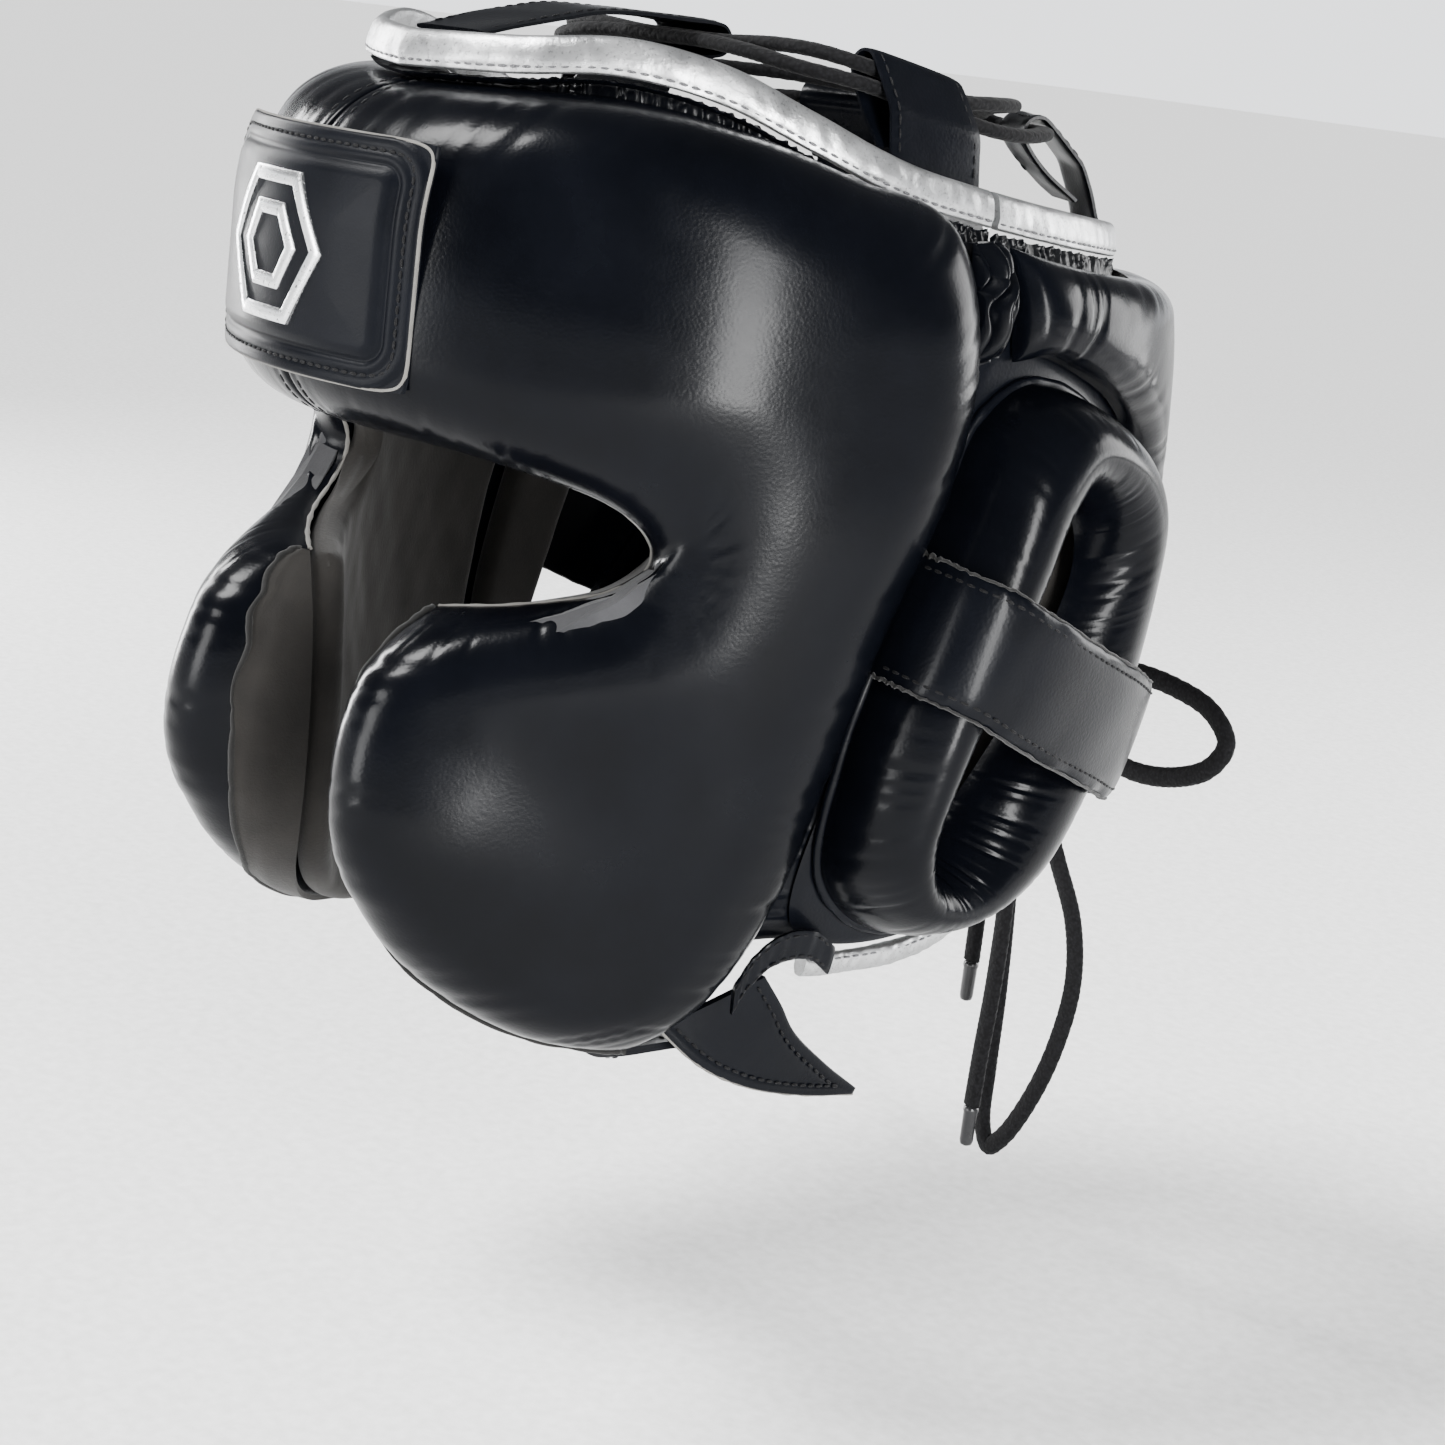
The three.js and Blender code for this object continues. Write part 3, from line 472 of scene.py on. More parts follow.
def smooth_finish(name, colour, rough, metal=0.0, bump=0.1):
    """A plain coated surface with faint mottling."""
    n = Nodes(name)
    slow = n.noise(250, 3)
    n.set(
        Base_Color=n.colours(slow, (0.25, shade(colour, 0.85)), (0.75, shade(colour, 1.1))),
        Metallic=metal,
        Roughness=n.remap(slow, 0.3, 0.7, rough * 0.85, rough * 1.15),
    )
    n.bump((slow, bump, 0.0004))
    return n.material


def worn_foil(name, colour):
    """Hot-pressed foil: bright metal with small dark gaps where the leather shows through."""
    n = Nodes(name)
    gaps = n.noise(950, 4, 0.7)
    mask = n.remap(gaps, 0.36, 0.4, 0.0, 1.0)
    n.set(
        Base_Color=n.colours(gaps, (0.36, (0.02, 0.02, 0.021)), (0.4, colour), (1.0, shade(colour, 1.05))),
        Metallic=mask,
        Roughness=n.remap(gaps, 0.36, 0.42, 0.5, 0.26),
    )
    n.bump((gaps, 0.15, 0.0002))
    return n.material


def finish(name):
    """The material of that name, made when it is first asked for."""
    found = bpy.data.materials.get(f"{name}_finish")
    if found:
        return found
    s = bpy.context.scene.headgear
    chosen = (s.leather_colour, s.silver_colour, s.lining_colour, s.lace_colour)
    black, silver, lining, lace = (tuple(c) for c in chosen)
    makers = {
        "glossy_leather": lambda: leather(name, black, s.gloss_roughness, s.pebble, 0.4, 0.05),
        "soft_leather": lambda: leather(
            name, shade(black, 1.3), s.gloss_roughness + 0.08, s.pebble, 0.6, 0.05,
        ),
        "label_leather": lambda: leather(name, shade(black, 1.5), 0.4, 0.5, 0.4, 0.0),
        "crumpled_leather": lambda: leather(name, shade(black, 0.9), 0.3, 0.8, 0.6, 0.1),
        "suede_lining": lambda: suede(name, lining),
        "raw_edge": lambda: suede(name, (0.13, 0.125, 0.115)),
        "dark_edge": lambda: suede(name, (0.008, 0.0078, 0.0075)),
        "silver_leather": lambda: metallic_leather(name, silver),
        "silver_foil": lambda: worn_foil(name, (0.76, 0.77, 0.78)),
        "woven_lace": lambda: woven(name, lace),
        "hook_tape": lambda: woven(name, (0.016, 0.016, 0.017), 0.95, 1.3),
        "black_thread": lambda: woven(name, (0.005, 0.005, 0.0055), 0.7, 0.35),
        "grey_thread": lambda: woven(name, (0.11, 0.11, 0.115), 0.6, 0.35),
        "tip_plastic": lambda: smooth_finish(name, (0.012, 0.012, 0.013), 0.3),
        "padding_foam": lambda: suede(name, (0.03, 0.03, 0.032)),
        "pale_floor": lambda: smooth_finish(name, (0.97, 0.97, 0.96), 0.9, 0.0, 0.0),
    }
    return makers[name]()


# ---------- settings ----------


class HeadgearSettings(bpy.types.PropertyGroup):
    """Sizes, colours and light that can be changed before the pieces are built."""

    leather_colour: bpy.props.FloatVectorProperty(
        name="Leather", description="Colour of the leather", subtype="COLOR", size=3, min=0, max=1,
        default=(0.0013, 0.0016, 0.0026),
    )
    silver_colour: bpy.props.FloatVectorProperty(
        name="Silver trim", description="Colour of the coated rim binding", subtype="COLOR", size=3, min=0,
        max=1, default=(0.5, 0.505, 0.51),
    )
    lining_colour: bpy.props.FloatVectorProperty(
        name="Lining", description="Colour of the suede lining", subtype="COLOR", size=3, min=0, max=1,
        default=(0.013, 0.0118, 0.0105),
    )
    lace_colour: bpy.props.FloatVectorProperty(
        name="Lace", description="Colour of the woven lace", subtype="COLOR", size=3, min=0, max=1,
        default=(0.004, 0.004, 0.0045),
    )
    gloss_roughness: bpy.props.FloatProperty(
        name="Gloss roughness", description="Roughness of the glossy leather", default=0.22, min=0.05, max=1,
    )
    pebble: bpy.props.FloatProperty(
        name="Pebble", description="Size of the leather's grain in millimetres", default=0.8, min=0.2, max=4,
    )
    crease_depth: bpy.props.FloatProperty(
        name="Crease depth", description="Depth of the leather's creases in millimetres", default=0.75,
        min=0, max=3,
    )
    stitch_pitch: bpy.props.FloatProperty(
        name="Stitch pitch", description="Length of one stitch in millimetres", default=3.3, min=1.5, max=8,
    )
    lace_width: bpy.props.FloatProperty(
        name="Lace width", description="Width of the flat-oval lace", default=0.006, min=0.003, max=0.01,
        unit="LENGTH", subtype="DISTANCE",
    )
    lace_thickness: bpy.props.FloatProperty(
        name="Lace thickness", description="Thickness of the flat-oval lace", default=0.0036, min=0.002,
        max=0.006, unit="LENGTH", subtype="DISTANCE",
    )
    lens: bpy.props.FloatProperty(
        name="Lens", description="Focal length of the camera in millimetres", default=68.5, min=20, max=200,
    )
    light: bpy.props.FloatProperty(
        name="Light", description="Strength of the studio lights", default=1.0, min=0, max=10,
    )


def settings():
    return bpy.context.scene.headgear


# ---------- camera ----------

CAMERA_TURN, CAMERA_RISE, CAMERA_ROLL = 50.5, 14.1, 7.2  # degrees
CAMERA_DISTANCE = 733.0
CAMERA_AIM = (0.6, -60.5)  # millimetres right and up from the origin, across the view


class HEADGEAR_OT_camera(bpy.types.Operator):
    """Sets up the camera at three quarters from the front, on the wearer's left"""

    bl_idname = "headgear.camera"
    bl_label = "Camera"

    def execute(self, context):
        a, e, r = (math.radians(x) for x in (CAMERA_TURN, CAMERA_RISE, CAMERA_ROLL))
        back = Vector((math.sin(a) * math.cos(e), -math.cos(a) * math.cos(e), math.sin(e)))
        level = Vector((math.cos(a), math.sin(a), 0))
        rising = back.cross(level)
        right = math.cos(r) * level + math.sin(r) * rising
        up = -math.sin(r) * level + math.cos(r) * rising
        where = (CAMERA_AIM[0] * right + CAMERA_AIM[1] * up + CAMERA_DISTANCE * back) * MM
        camera = bpy.data.objects.new("camera", bpy.data.cameras.new("camera"))
        context.scene.collection.objects.link(camera)
        camera.data.lens = settings().lens
        camera.data.sensor_width = 36
        camera.matrix_world = Matrix.Translation(where) @ Matrix((right, up, back)).transposed().to_4x4()
        context.scene.camera = camera
        return {"FINISHED"}


# ---------- laces ----------

BOW_LOOP = [
    (9.2, 122, -50), (20, 123, -46), (38, 124, -43.5), (58, 124.6, -43.5), (74, 124.6, -47),
    (81, 124.4, -54), (77, 124.2, -62), (66, 124, -68), (50, 123.8, -71), (32, 123.4, -68.5),
    (18, 122.6, -62), (9.2, 122, -56.5),
]
LONG_LOOP = [
    (3.6, 123.5, -60.6), (5.6, 127, -72), (9.6, 129.4, -90), (20, 130, -108), (30, 130, -124),
    (34, 130, -142), (31, 130, -164), (24, 130, -184), (15, 130, -200), (9.6, 130, -204.5), (6, 130, -198),
    (5, 130, -180), (4.4, 130, -156), (2.6, 130, -130), (0.4, 129.4, -104), (-1.6, 127, -80),
    (-3.4, 123.5, -60.6),
]
TAILS = {
    "outer": [
        (-8.6, 121.5, -57.4), (-9.4, 124, -68), (-9.6, 127, -86), (-9.6, 129, -108), (-9.6, 130, -130),
        (-9.2, 130, -150),
    ],
    "inner": [
        (0, 119.5, -61), (3, 120, -76), (7, 120.6, -96), (10, 121, -122), (10.4, 121, -150), (9.4, 121, -174),
        (9, 121, -190),
    ],
}
TIP_LENGTH = 13
KNOT = np.array([0.0, 121.0, -52.0])
BACKWARDS = np.array([0.0, 1.0, 0.0])


def lace(line, normal, pitch=0.7):
    """A flat-oval woven lace along a line: a rounded section whose radius swells along two sets of crossing
    spirals."""
    s = settings()
    path = evenly(line, pitch)
    corners = 20
    along = np.linalg.norm(np.diff(path, axis=0), axis=1)
    s_mm = np.concatenate([[0], np.cumsum(along)])[:, None]
    angle = TAU * np.arange(corners)[None] / corners
    weave = np.maximum(np.sin(5 * angle + TAU * s_mm / 4.2), np.sin(5 * angle - TAU * s_mm / 4.2))
    half = ring_profile(0.5 * s.lace_width / MM, 0.5 * s.lace_thickness / MM, corners, 0.85)
    profile = half[None] * (0.95 + 0.055 * weave)[..., None]
    return sweep(path, np.broadcast_to(normal, path.shape), profile), path


def line_length(path):
    return float(np.linalg.norm(np.diff(path, axis=0), axis=1).sum()) * MM


class HEADGEAR_OT_cords(bpy.types.Operator):
    """Hangs the free lace at the back: one bow loop, one long loop and two tails with their tips"""

    bl_idname = "headgear.cords"
    bl_label = "Bow loops and tails"

    def hang(self, name, points, steps, far_end, extra=()):
        made, path = lace(centripetal(points, np.linspace(0, 1, steps)), BACKWARDS)
        piece = make(name + "_woven", made, "woven_lace", "shell", "woven_lace", name)
        line_length(path)

    def tip(self, kind, end):
        """A lace tip: a tube whose radius steps in at its top, with a rounded end."""
        z = np.array([0, 0.4, 1.4, 2.2, TIP_LENGTH - 1.6, TIP_LENGTH - 0.5, TIP_LENGTH])
        r = np.array([1.9, 2.35, 2.45, 2.2, 2.1, 1.8, 0.9])
        path = np.array(end) - np.array([0, 0, 0.3]) - z[:, None] * np.array([0, 0, 1.0])
        made = sweep(path, BACKWARDS, ring_profile(1, 1, 18)[None] * r[:, None, None])
        name = "lace_tip_" + kind
        return make(name + "_moulded", made, "tip_plastic", "shell", "lace_tip_plastic", name)

    def execute(self, context):
        self.hang("bow_loop", BOW_LOOP, 200, "object")
        self.hang("long_loop", LONG_LOOP, 300, "object")
        for kind, points in TAILS.items():
            self.hang("lace_tail_" + kind, points, 200, "fitting", [self.tip(kind, points[-1])])
        return {"FINISHED"}


CROWN_ROUTE = [
    (0.3, -35.4, 116.6), (16, -35.4, 116.6), (34, -36, 115.6), (48, -32, 113.6), (59.7, -21, 111.5),
    (59.7, -4, 108.4), (59.7, 13.5, 105.3), (60, 25, 103.6), (57, 38, 103.2), (50.3, 49.7, 104),
    (37, 57, 104), (23.7, 64.3, 104), (16.5, 66, 104.4), (14, 61, 106), (21, 56, 108), (34, 50, 109.4),
    (46, 41, 110), (54, 28, 110), (57, 13.5, 109.9), (57, -4, 113), (57, -21, 116.1), (50, -27, 117.6),
    (38, -29.5, 118), (16, -30, 117), (0.3, -30, 117),
]
LOOP_HEIGHTS = (46, 12, -22)
LACING_RISE = 17


def back_y(z, rise=LACING_RISE):
    return on_head(180, z, rise)[..., 1]


class HEADGEAR_OT_lacing(bpy.types.Operator):
    """Threads the crown lace through its tabs, and the rear lacing through its loops"""

    bl_idname = "headgear.lacing"
    bl_label = "Crown and rear lacing"

    def execute(self, context):
        for side, mirror in SIDES.items():
            line = centripetal(CROWN_ROUTE, np.linspace(0, 1, 500))
            line[0, 0] = line[-1, 0] = 0.0
            made, _ = lace(line, np.array([0.0, 0.0, 1.0]))
            piece = add_mesh(f"crown_lace_{side}_woven", made, "woven_lace", mirror)
            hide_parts(f"crown_lace_{side}")
            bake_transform(piece)
            self.rear(side, mirror)
        return {"FINISHED"}

    def rear(self, side, mirror):
        """One side's run of the lacing: down through its three loops, with its crossings on the middle
        line."""
        front = 1.6 * mirror
        points = [
            (0.2, LOOP_HEIGHTS[0] + 13, front), (3.4, LOOP_HEIGHTS[0] + 13, front),
            (6.6, LOOP_HEIGHTS[0] + 11, 0)
        ]
        for i, z in enumerate(LOOP_HEIGHTS):
            points += [(8.6, z + 6, 0), (8.6, z - 6, 0)]
            if i < 2:
                points += [(3.2, z - 13, front), (0.6, z - 17, front), (3.2, z - 21, front)]
        route = [(x, back_y(z) + y, z) for x, z, y in points] + [(6.4, 115.5, -44)]
        made, _ = lace(centripetal(route, np.linspace(0, 1, 300)), BACKWARDS)
        piece = add_mesh(f"rear_lacing_{side}_woven", made, "woven_lace", mirror)
        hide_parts(f"rear_lacing_{side}")
        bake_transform(piece)


class HEADGEAR_OT_knot(bpy.types.Operator):
    """Ties the bow's knot: a trefoil, whose two rounds and three crossings come from sines and cosines of
    one angle"""

    bl_idname = "headgear.knot"
    bl_label = "Bow knot"

    def execute(self, context):
        t = np.linspace(0, TAU, 161)[:-1]
        round_x, round_z = np.sin(t) + 2 * np.sin(2 * t), np.cos(t) - 2 * np.cos(2 * t)
        shape = np.stack([round_x, 1.5 * np.sin(3 * t), round_z], -1)
        path = KNOT + shape * np.array([2.1, 1.9, 1.75])
        ahead = unit(np.roll(path, -1, 0) - np.roll(path, 1, 0))
        out = unit((path - KNOT) * np.array([1, 2.0, 1]) + np.array([0, 3.0, 0]))
        side = unit(np.cross(ahead, out))
        up = np.cross(side, ahead)
        angle = TAU * np.arange(16) / 16
        weave = 1 + 0.06 * np.sin(4 * angle[None] + 12 * t[:, None])
        profile = ring_profile(2.3, 1.6, 16, 0.9)[None] * weave[..., None]
        made = hoop(path[:, None] + profile[..., :1] * side[:, None] + profile[..., 1:] * up[:, None])
        make("bow_knot_woven", made, "woven_lace", "shell", "woven_lace", "bow_knot")
        return {"FINISHED"}


# ---------- padded panels ----------

SEAM_GAP = 0.15
CROWN_SEAM_Z = 100
FRONT_EDGES = {
    "near": [
        (SEAM_GAP, 19), (9, 19), (18, 18.5), (26, 16.5), (34, 13), (39, 8), (41.4, 2), (40.5, -4), (36, -9.5),
        (30, -13), (24, -16), (19, -18), (15.5, -19.5),
    ],
    "far": [
        (SEAM_GAP, CROWN_SEAM_Z), (15, 101.2), (30, 101.8), (46, 98), (64, 90.5), (81, 83.5), (86.5, 58),
        (84.5, 28), (76.3, -12), (70.5, -50), (65, -82), (56, -108), (43, -126),
    ],
    "start": [(SEAM_GAP, 19), (SEAM_GAP, 60), (SEAM_GAP, CROWN_SEAM_Z)],
    "end": [(15.5, -19.5), (11.3, -36), (10.2, -60), (11.4, -85), (16.6, -107), (27.5, -121), (43, -126)],
}
REAR_EDGES = {
    "near": [
        (99.5, 51), (106, 52.5), (114, 49.5), (127, 42), (139, 30), (146, 14), (147, -8), (145, -30),
        (142, -50),
    ],
    "far": [
        (98.5, 78), (108, 75.5), (124, 72.5), (148, 69.5), (170, 67), (172, 40), (172, 10), (172, -20),
        (171, -49),
    ],
    "start": [(99.5, 51), (99, 64), (98.5, 78)],
    "end": [(142, -50), (156, -50), (171, -49)],
}


def patch(edges, u, v):
    """A Coons patch in [phi, z]: the sum of the two blends between facing edges, less the blend of the
    corners."""
    n, f, s, e = (through(edges[k], t) for k, t in (("near", u), ("far", u), ("start", v), ("end", v)))
    u, v = u[..., None], v[..., None]
    corner = {k: np.array(edges[k][i], float) for k, i in (("near", 0), ("far", 0))}
    ends = {k: np.array(edges[k][-1], float) for k in ("near", "far")}
    first = (1 - v) * corner["near"] + v * corner["far"]
    last = (1 - v) * ends["near"] + v * ends["far"]
    corners = (1 - u) * first + u * last
    return (1 - v) * n + v * f + (1 - u) * s + u * e - corners


def edge_distances(grid):
    """Distances in mm of each grid point from the four edges, measured along the grid's own lines."""
    du = np.linalg.norm(np.diff(grid, axis=0), axis=-1)
    dv = np.linalg.norm(np.diff(grid, axis=1), axis=-1)
    along = np.concatenate([np.zeros((1, grid.shape[1])), np.cumsum(du, 0)])
    across = np.concatenate([np.zeros((grid.shape[0], 1)), np.cumsum(dv, 1)], 1)
    return along, along[-1:] - along, across, across[:, -1:] - across


def rolled(distance, width, power=2.4):
    """A pad's rounded edge: 0 at the seam, rising to 1 at width along a superellipse."""
    return (1 - (1 - np.clip(distance / width, 0, 1)) ** power) ** (1 / power)


def lines_on(pairs_list, count=24, h=SEAM + 22):
    """Lines in space for creases that are given in [phi, z]."""
    lines = []
    for pairs in pairs_list:
        at = through(pairs, np.linspace(0, 1, count))
        lines.append(on_head(at[:, 0], at[:, 1], h))
    return lines


def front_surface(nu=260, nv=130):
    """The outside of a front pad: a Coons patch round the eye opening at a height that is a sum of humps,
    rolled down at its edges, less creases and gathers. Returns its points, patch places and edge
    distances."""
    u, v = np.meshgrid(np.linspace(0, 1, nu + 1), np.linspace(0, 1, nv + 1), indexing="ij")
    u = u + 0.84 * u * u * (1 - u)
    v = v - 0.115 * np.sin(TAU * v)
    at = patch(FRONT_EDGES, u, v)
    phi, z = at[..., 0], at[..., 1]
    flat = on_head(phi, z, SEAM)
    start, end, near, far = edge_distances(flat)
    brow = bell(z - 62, 42) * (2 * bell(phi, 50) + 5 * bell(phi, 19))
    cheek = bell(z + 68, 48) * (22 * bell(phi - 10, 17) - 4 * bell(phi - 36, 12))
    rise = 18 + 4 * bell(z - 62, 60) + brow + cheek
    near_roll = 20 + 28 * bell(u - 0.5, 0.19)
    far_roll = 20 + 10 * ease(u, 0.15, 0.4)
    full = rolled(near, near_roll) * rolled(far, far_roll) * rolled(end, 25.0)
    full = full * (1 - 0.05 * (1 - rolled(start, 2.6)) - 0.012 * bell(start - 3.2, 0.9))
    depth = settings().crease_depth
    rise = rise - 1.4 * bell(np.hypot(phi - 25 + 0.12 * (z + 40), 0.35 * (z + 42)), 7.5) * ease(-z, 14, 30)
    rise = rise + 0.45 * waves(flat[..., 0], flat[..., 2], 5, 6, (38, 90)) * ease(start, 0, 30)
    ends = full > 0.02
    run = down_of(flat)
    rise = rise - depth * 1.2 * puckers(run[:, -1:], 3, 9.5) * bell(far - 5, 9) * ends
    rise = rise - depth * 0.8 * puckers(run[:, :1], 11, 6.5) * bell(near - 3, 6) * ends
    rise = rise - depth * 1.2 * puckers(across_of(flat), 7, 9.0) * bell(end - 6, 9) * ends
    h = SEAM + rise * full
    points = on_head(phi, z, h)
    pick = np.random.default_rng(21)
    fan = []
    for angle in np.radians(np.linspace(-118, 82, 17)):
        r0, r1 = pick.uniform(4, 7), pick.uniform(15, 30)
        bend = pick.uniform(-0.25, 0.25)
        reach = np.linspace(r0, r1, 6)
        turn = angle + bend * (reach - r0) / (r1 - r0)
        fan.append([(43 + 0.62 * r * np.cos(t), 1 + r * np.sin(t)) for r, t in zip(reach, turn)])
    cut = crease(points, lines_on(fan, 20, SEAM + 17), 0.45 * depth, 0.8)
    long_lines = [
        [(50, -8), (55, -18), (58, -34), (60, -52)], [(47, -12), (52, -24), (54.5, -40), (55, -58)],
        [(53, -3), (60, -12), (64.5, -26), (66, -40)], [(44, -16), (47.5, -30), (49, -46)],
        [(56, 4), (63, -2), (68, -12), (71, -24)], [(50, 14), (57, 17), (63, 16)],
        [(35, -18), (37, -34), (36.5, -52)],
    ]
    cut += crease(points, lines_on(long_lines, 30, SEAM + 22), 0.6 * depth, 0.9)
    normal = unit(on_head(phi, z, h + 1) - points)
    return points - cut[..., None] * normal, at, (start, end, near, far)


def down_of(flat):
    """Lengths along each column's first direction, as a grid."""
    steps = np.linalg.norm(np.diff(flat, axis=0), axis=-1)
    return np.concatenate([np.zeros((1, flat.shape[1])), np.cumsum(steps, 0)])


def across_of(flat):
    """Lengths along each row's second direction, as a grid."""
    steps = np.linalg.norm(np.diff(flat, axis=1), axis=-1)
    return np.concatenate([np.zeros((flat.shape[0], 1)), np.cumsum(steps, 1)], 1)


def edge_line(edges, name, count=200, low=0.0, high=1.0):
    return through(edges[name], np.linspace(low, high, count))


class HEADGEAR_OT_front_pads(bpy.types.Operator):
    """Builds the two front pads, each a forehead, temple and cheek in one leather cover, with their seams"""

    bl_idname = "headgear.front_pads"
    bl_label = "Front pads"

    def execute(self, context):
        points, at, edges = front_surface()
        lines = self.centre_lines(points, edges[0])
        back = on_head(at[..., 0], at[..., 1], SEAM + 0.05)
        for side, mirror in SIDES.items():
            pad = add_mesh(f"front_pad_{side}", shell(points, back), "glossy_leather", mirror, 70)
            place(pad, "shell", "glossy_leather", f"front_cover_{side}")
            stitches(f"centre_stitches_{side}", lines, "shell", "glossy_leather", mirror=mirror, thread=0.36)
            self.trim(side, mirror)
            self.wall(side, mirror, points, at, edges)
        return {"FINISHED"}

    def centre_lines(self, points, start, gap=3.2):
        """Lines for the stitches beside the centre seam, above and below the label, with their normals."""
        height = points[0, :, 2]
        rows = np.flatnonzero((height > LABEL["top"] + 2) | (height < LABEL["bottom"] - 2))
        seam = np.stack([[np.interp(gap, start[:12, j], points[:12, j, k]) for k in range(3)] for j in rows])
        lines = []
        for run in np.split(seam, np.flatnonzero(np.diff(rows) > 1) + 1):
            if len(run) > 3:
                out = np.cross(unit(np.gradient(run, axis=0)), [-1.0, 0, 0])
                lines.append((run, out * np.sign(out[:, 2:3] - out[:, 1:2] + 1e-6)))
        return lines

    def trim(self, side, mirror):
        """The pale raw edge along the eye opening."""
        eye = edge_line(FRONT_EDGES, "near", 260, 0.02, 0.99)
        line, out = head_line(eye, SEAM - 0.15)
        rough = 1 + 0.25 * waves(np.arange(260.0), np.zeros(260), 4, 6, (3, 17))
        made = sweep(line, out, ring_profile(0.4, 0.6, 8)[None] * rough[:, None, None])
        make(f"eye_edge_{side}", made, "raw_edge", "shell", "suede_lining", mirror=mirror)

    def wall(self, side, mirror, points, at, edges):
        """The suede side wall of the cheek: the pad's own surface from its nose-side edge inwards, lifted
        by half a millimetre, and the ragged welt where the leather meets it."""
        end = edges[1]
        normal = unit(on_head(at[..., 0], at[..., 1], SEAM + 1) - on_head(at[..., 0], at[..., 1], SEAM))
        count = points.shape[1]
        columns = np.arange(3, count - 3)
        share = (columns - 3) / (count - 7.0)
        low = at[-1, columns, 1]
        reach = 0.4 + 1.5 * np.sin(np.pi * share) ** 0.35 * ease(low, -124, -108)
        reach = reach + 0.25 * waves(share * 120, 0 * share, 15, 7, (3, 16)) * ease(low, -124, -108)
        spans = np.linspace(0, 1, 27)
        rows = slice(None, points.shape[0] // 2, -1)
        wall, skin = [], []
        for j, far in zip(columns, reach):
            depth = end[rows, j]
            order = np.argsort(depth)
            pick = lambda values: np.interp(spans * far, depth[order], values[order])
            wall.append(np.stack([pick(points[rows, j, k]) for k in range(3)], 1))
            skin.append(np.stack([pick(normal[rows, j, k]) for k in range(3)], 1))
        wall, skin = np.array(wall), np.array(skin)
        out = np.cross(np.gradient(wall, axis=0), np.gradient(wall, axis=1))
        out = unit(out) * np.sign((out * skin).sum(-1, keepdims=True) + 1e-9)
        nap = 0.2 * waves(np.arange(len(columns))[:, None] * 1.1, 27 * spans[None], 16, 6, (8, 30))[..., None]
        made = shell(wall + (0.65 + nap) * out, wall - 0.8 * out)
        make(f"cheek_wall_{side}", made, "suede_lining", "shell", "suede_lining", mirror=mirror, sharp=60)
        line, up = wall[:, -1] + 0.3 * out[:, -1], out[:, -1]
        rough = 1 + 0.4 * waves(np.arange(float(len(line))), 0 * share, 9, 9, (2, 12))
        made = sweep(line, up, ring_profile(0.8, 0.9, 10)[None] * rough[:, None, None])
        make(f"cheek_welt_{side}", made, "dark_edge", "shell", "soft_leather", mirror=mirror)


class HEADGEAR_OT_front_linings(bpy.types.Operator):
    """Builds the suede lining behind each front pad: a flat cushion whose edges are rounded over a few
    millimetres"""

    bl_idname = "headgear.front_linings"
    bl_label = "Front linings"

    def execute(self, context):
        u, v = np.meshgrid(np.linspace(0, 1, 181), np.linspace(0, 1, 71), indexing="ij")
        u, v = u + 0.84 * u * u * (1 - u), v - 0.115 * np.sin(TAU * v)
        at = patch(FRONT_EDGES, 0.004 + 0.99 * u, 0.012 + 0.976 * v)
        at[..., 1] = np.minimum(at[..., 1], rim_z(at[..., 0]) - BAND_DROP - 0.8)
        phi, z = at[..., 0], at[..., 1]
        flat = on_head(phi, z, 7)
        _, end, near, far = edge_distances(flat)
        full = rolled(near, 5.0) * rolled(far, 4.0) * rolled(end, 5.0)
        nap = 0.25 * waves(flat[..., 0] + flat[..., 1], z, 31, 8, (9, 30))
        outer = on_head(phi, z, 7 + 4.6 * full)
        gathers = 0.5 * puckers(across_of(flat), 8, 11) * bell(end - 6, 8)
        inner = on_head(phi, z, 7 - 4.4 * full + nap * full + gathers)
        for side, mirror in SIDES.items():
            lining = add_mesh(f"front_lining_{side}_suede", shell(outer, inner), "suede_lining", mirror, 60)
            place(lining, "shell", "suede_lining", f"front_lining_{side}")
        return {"FINISHED"}


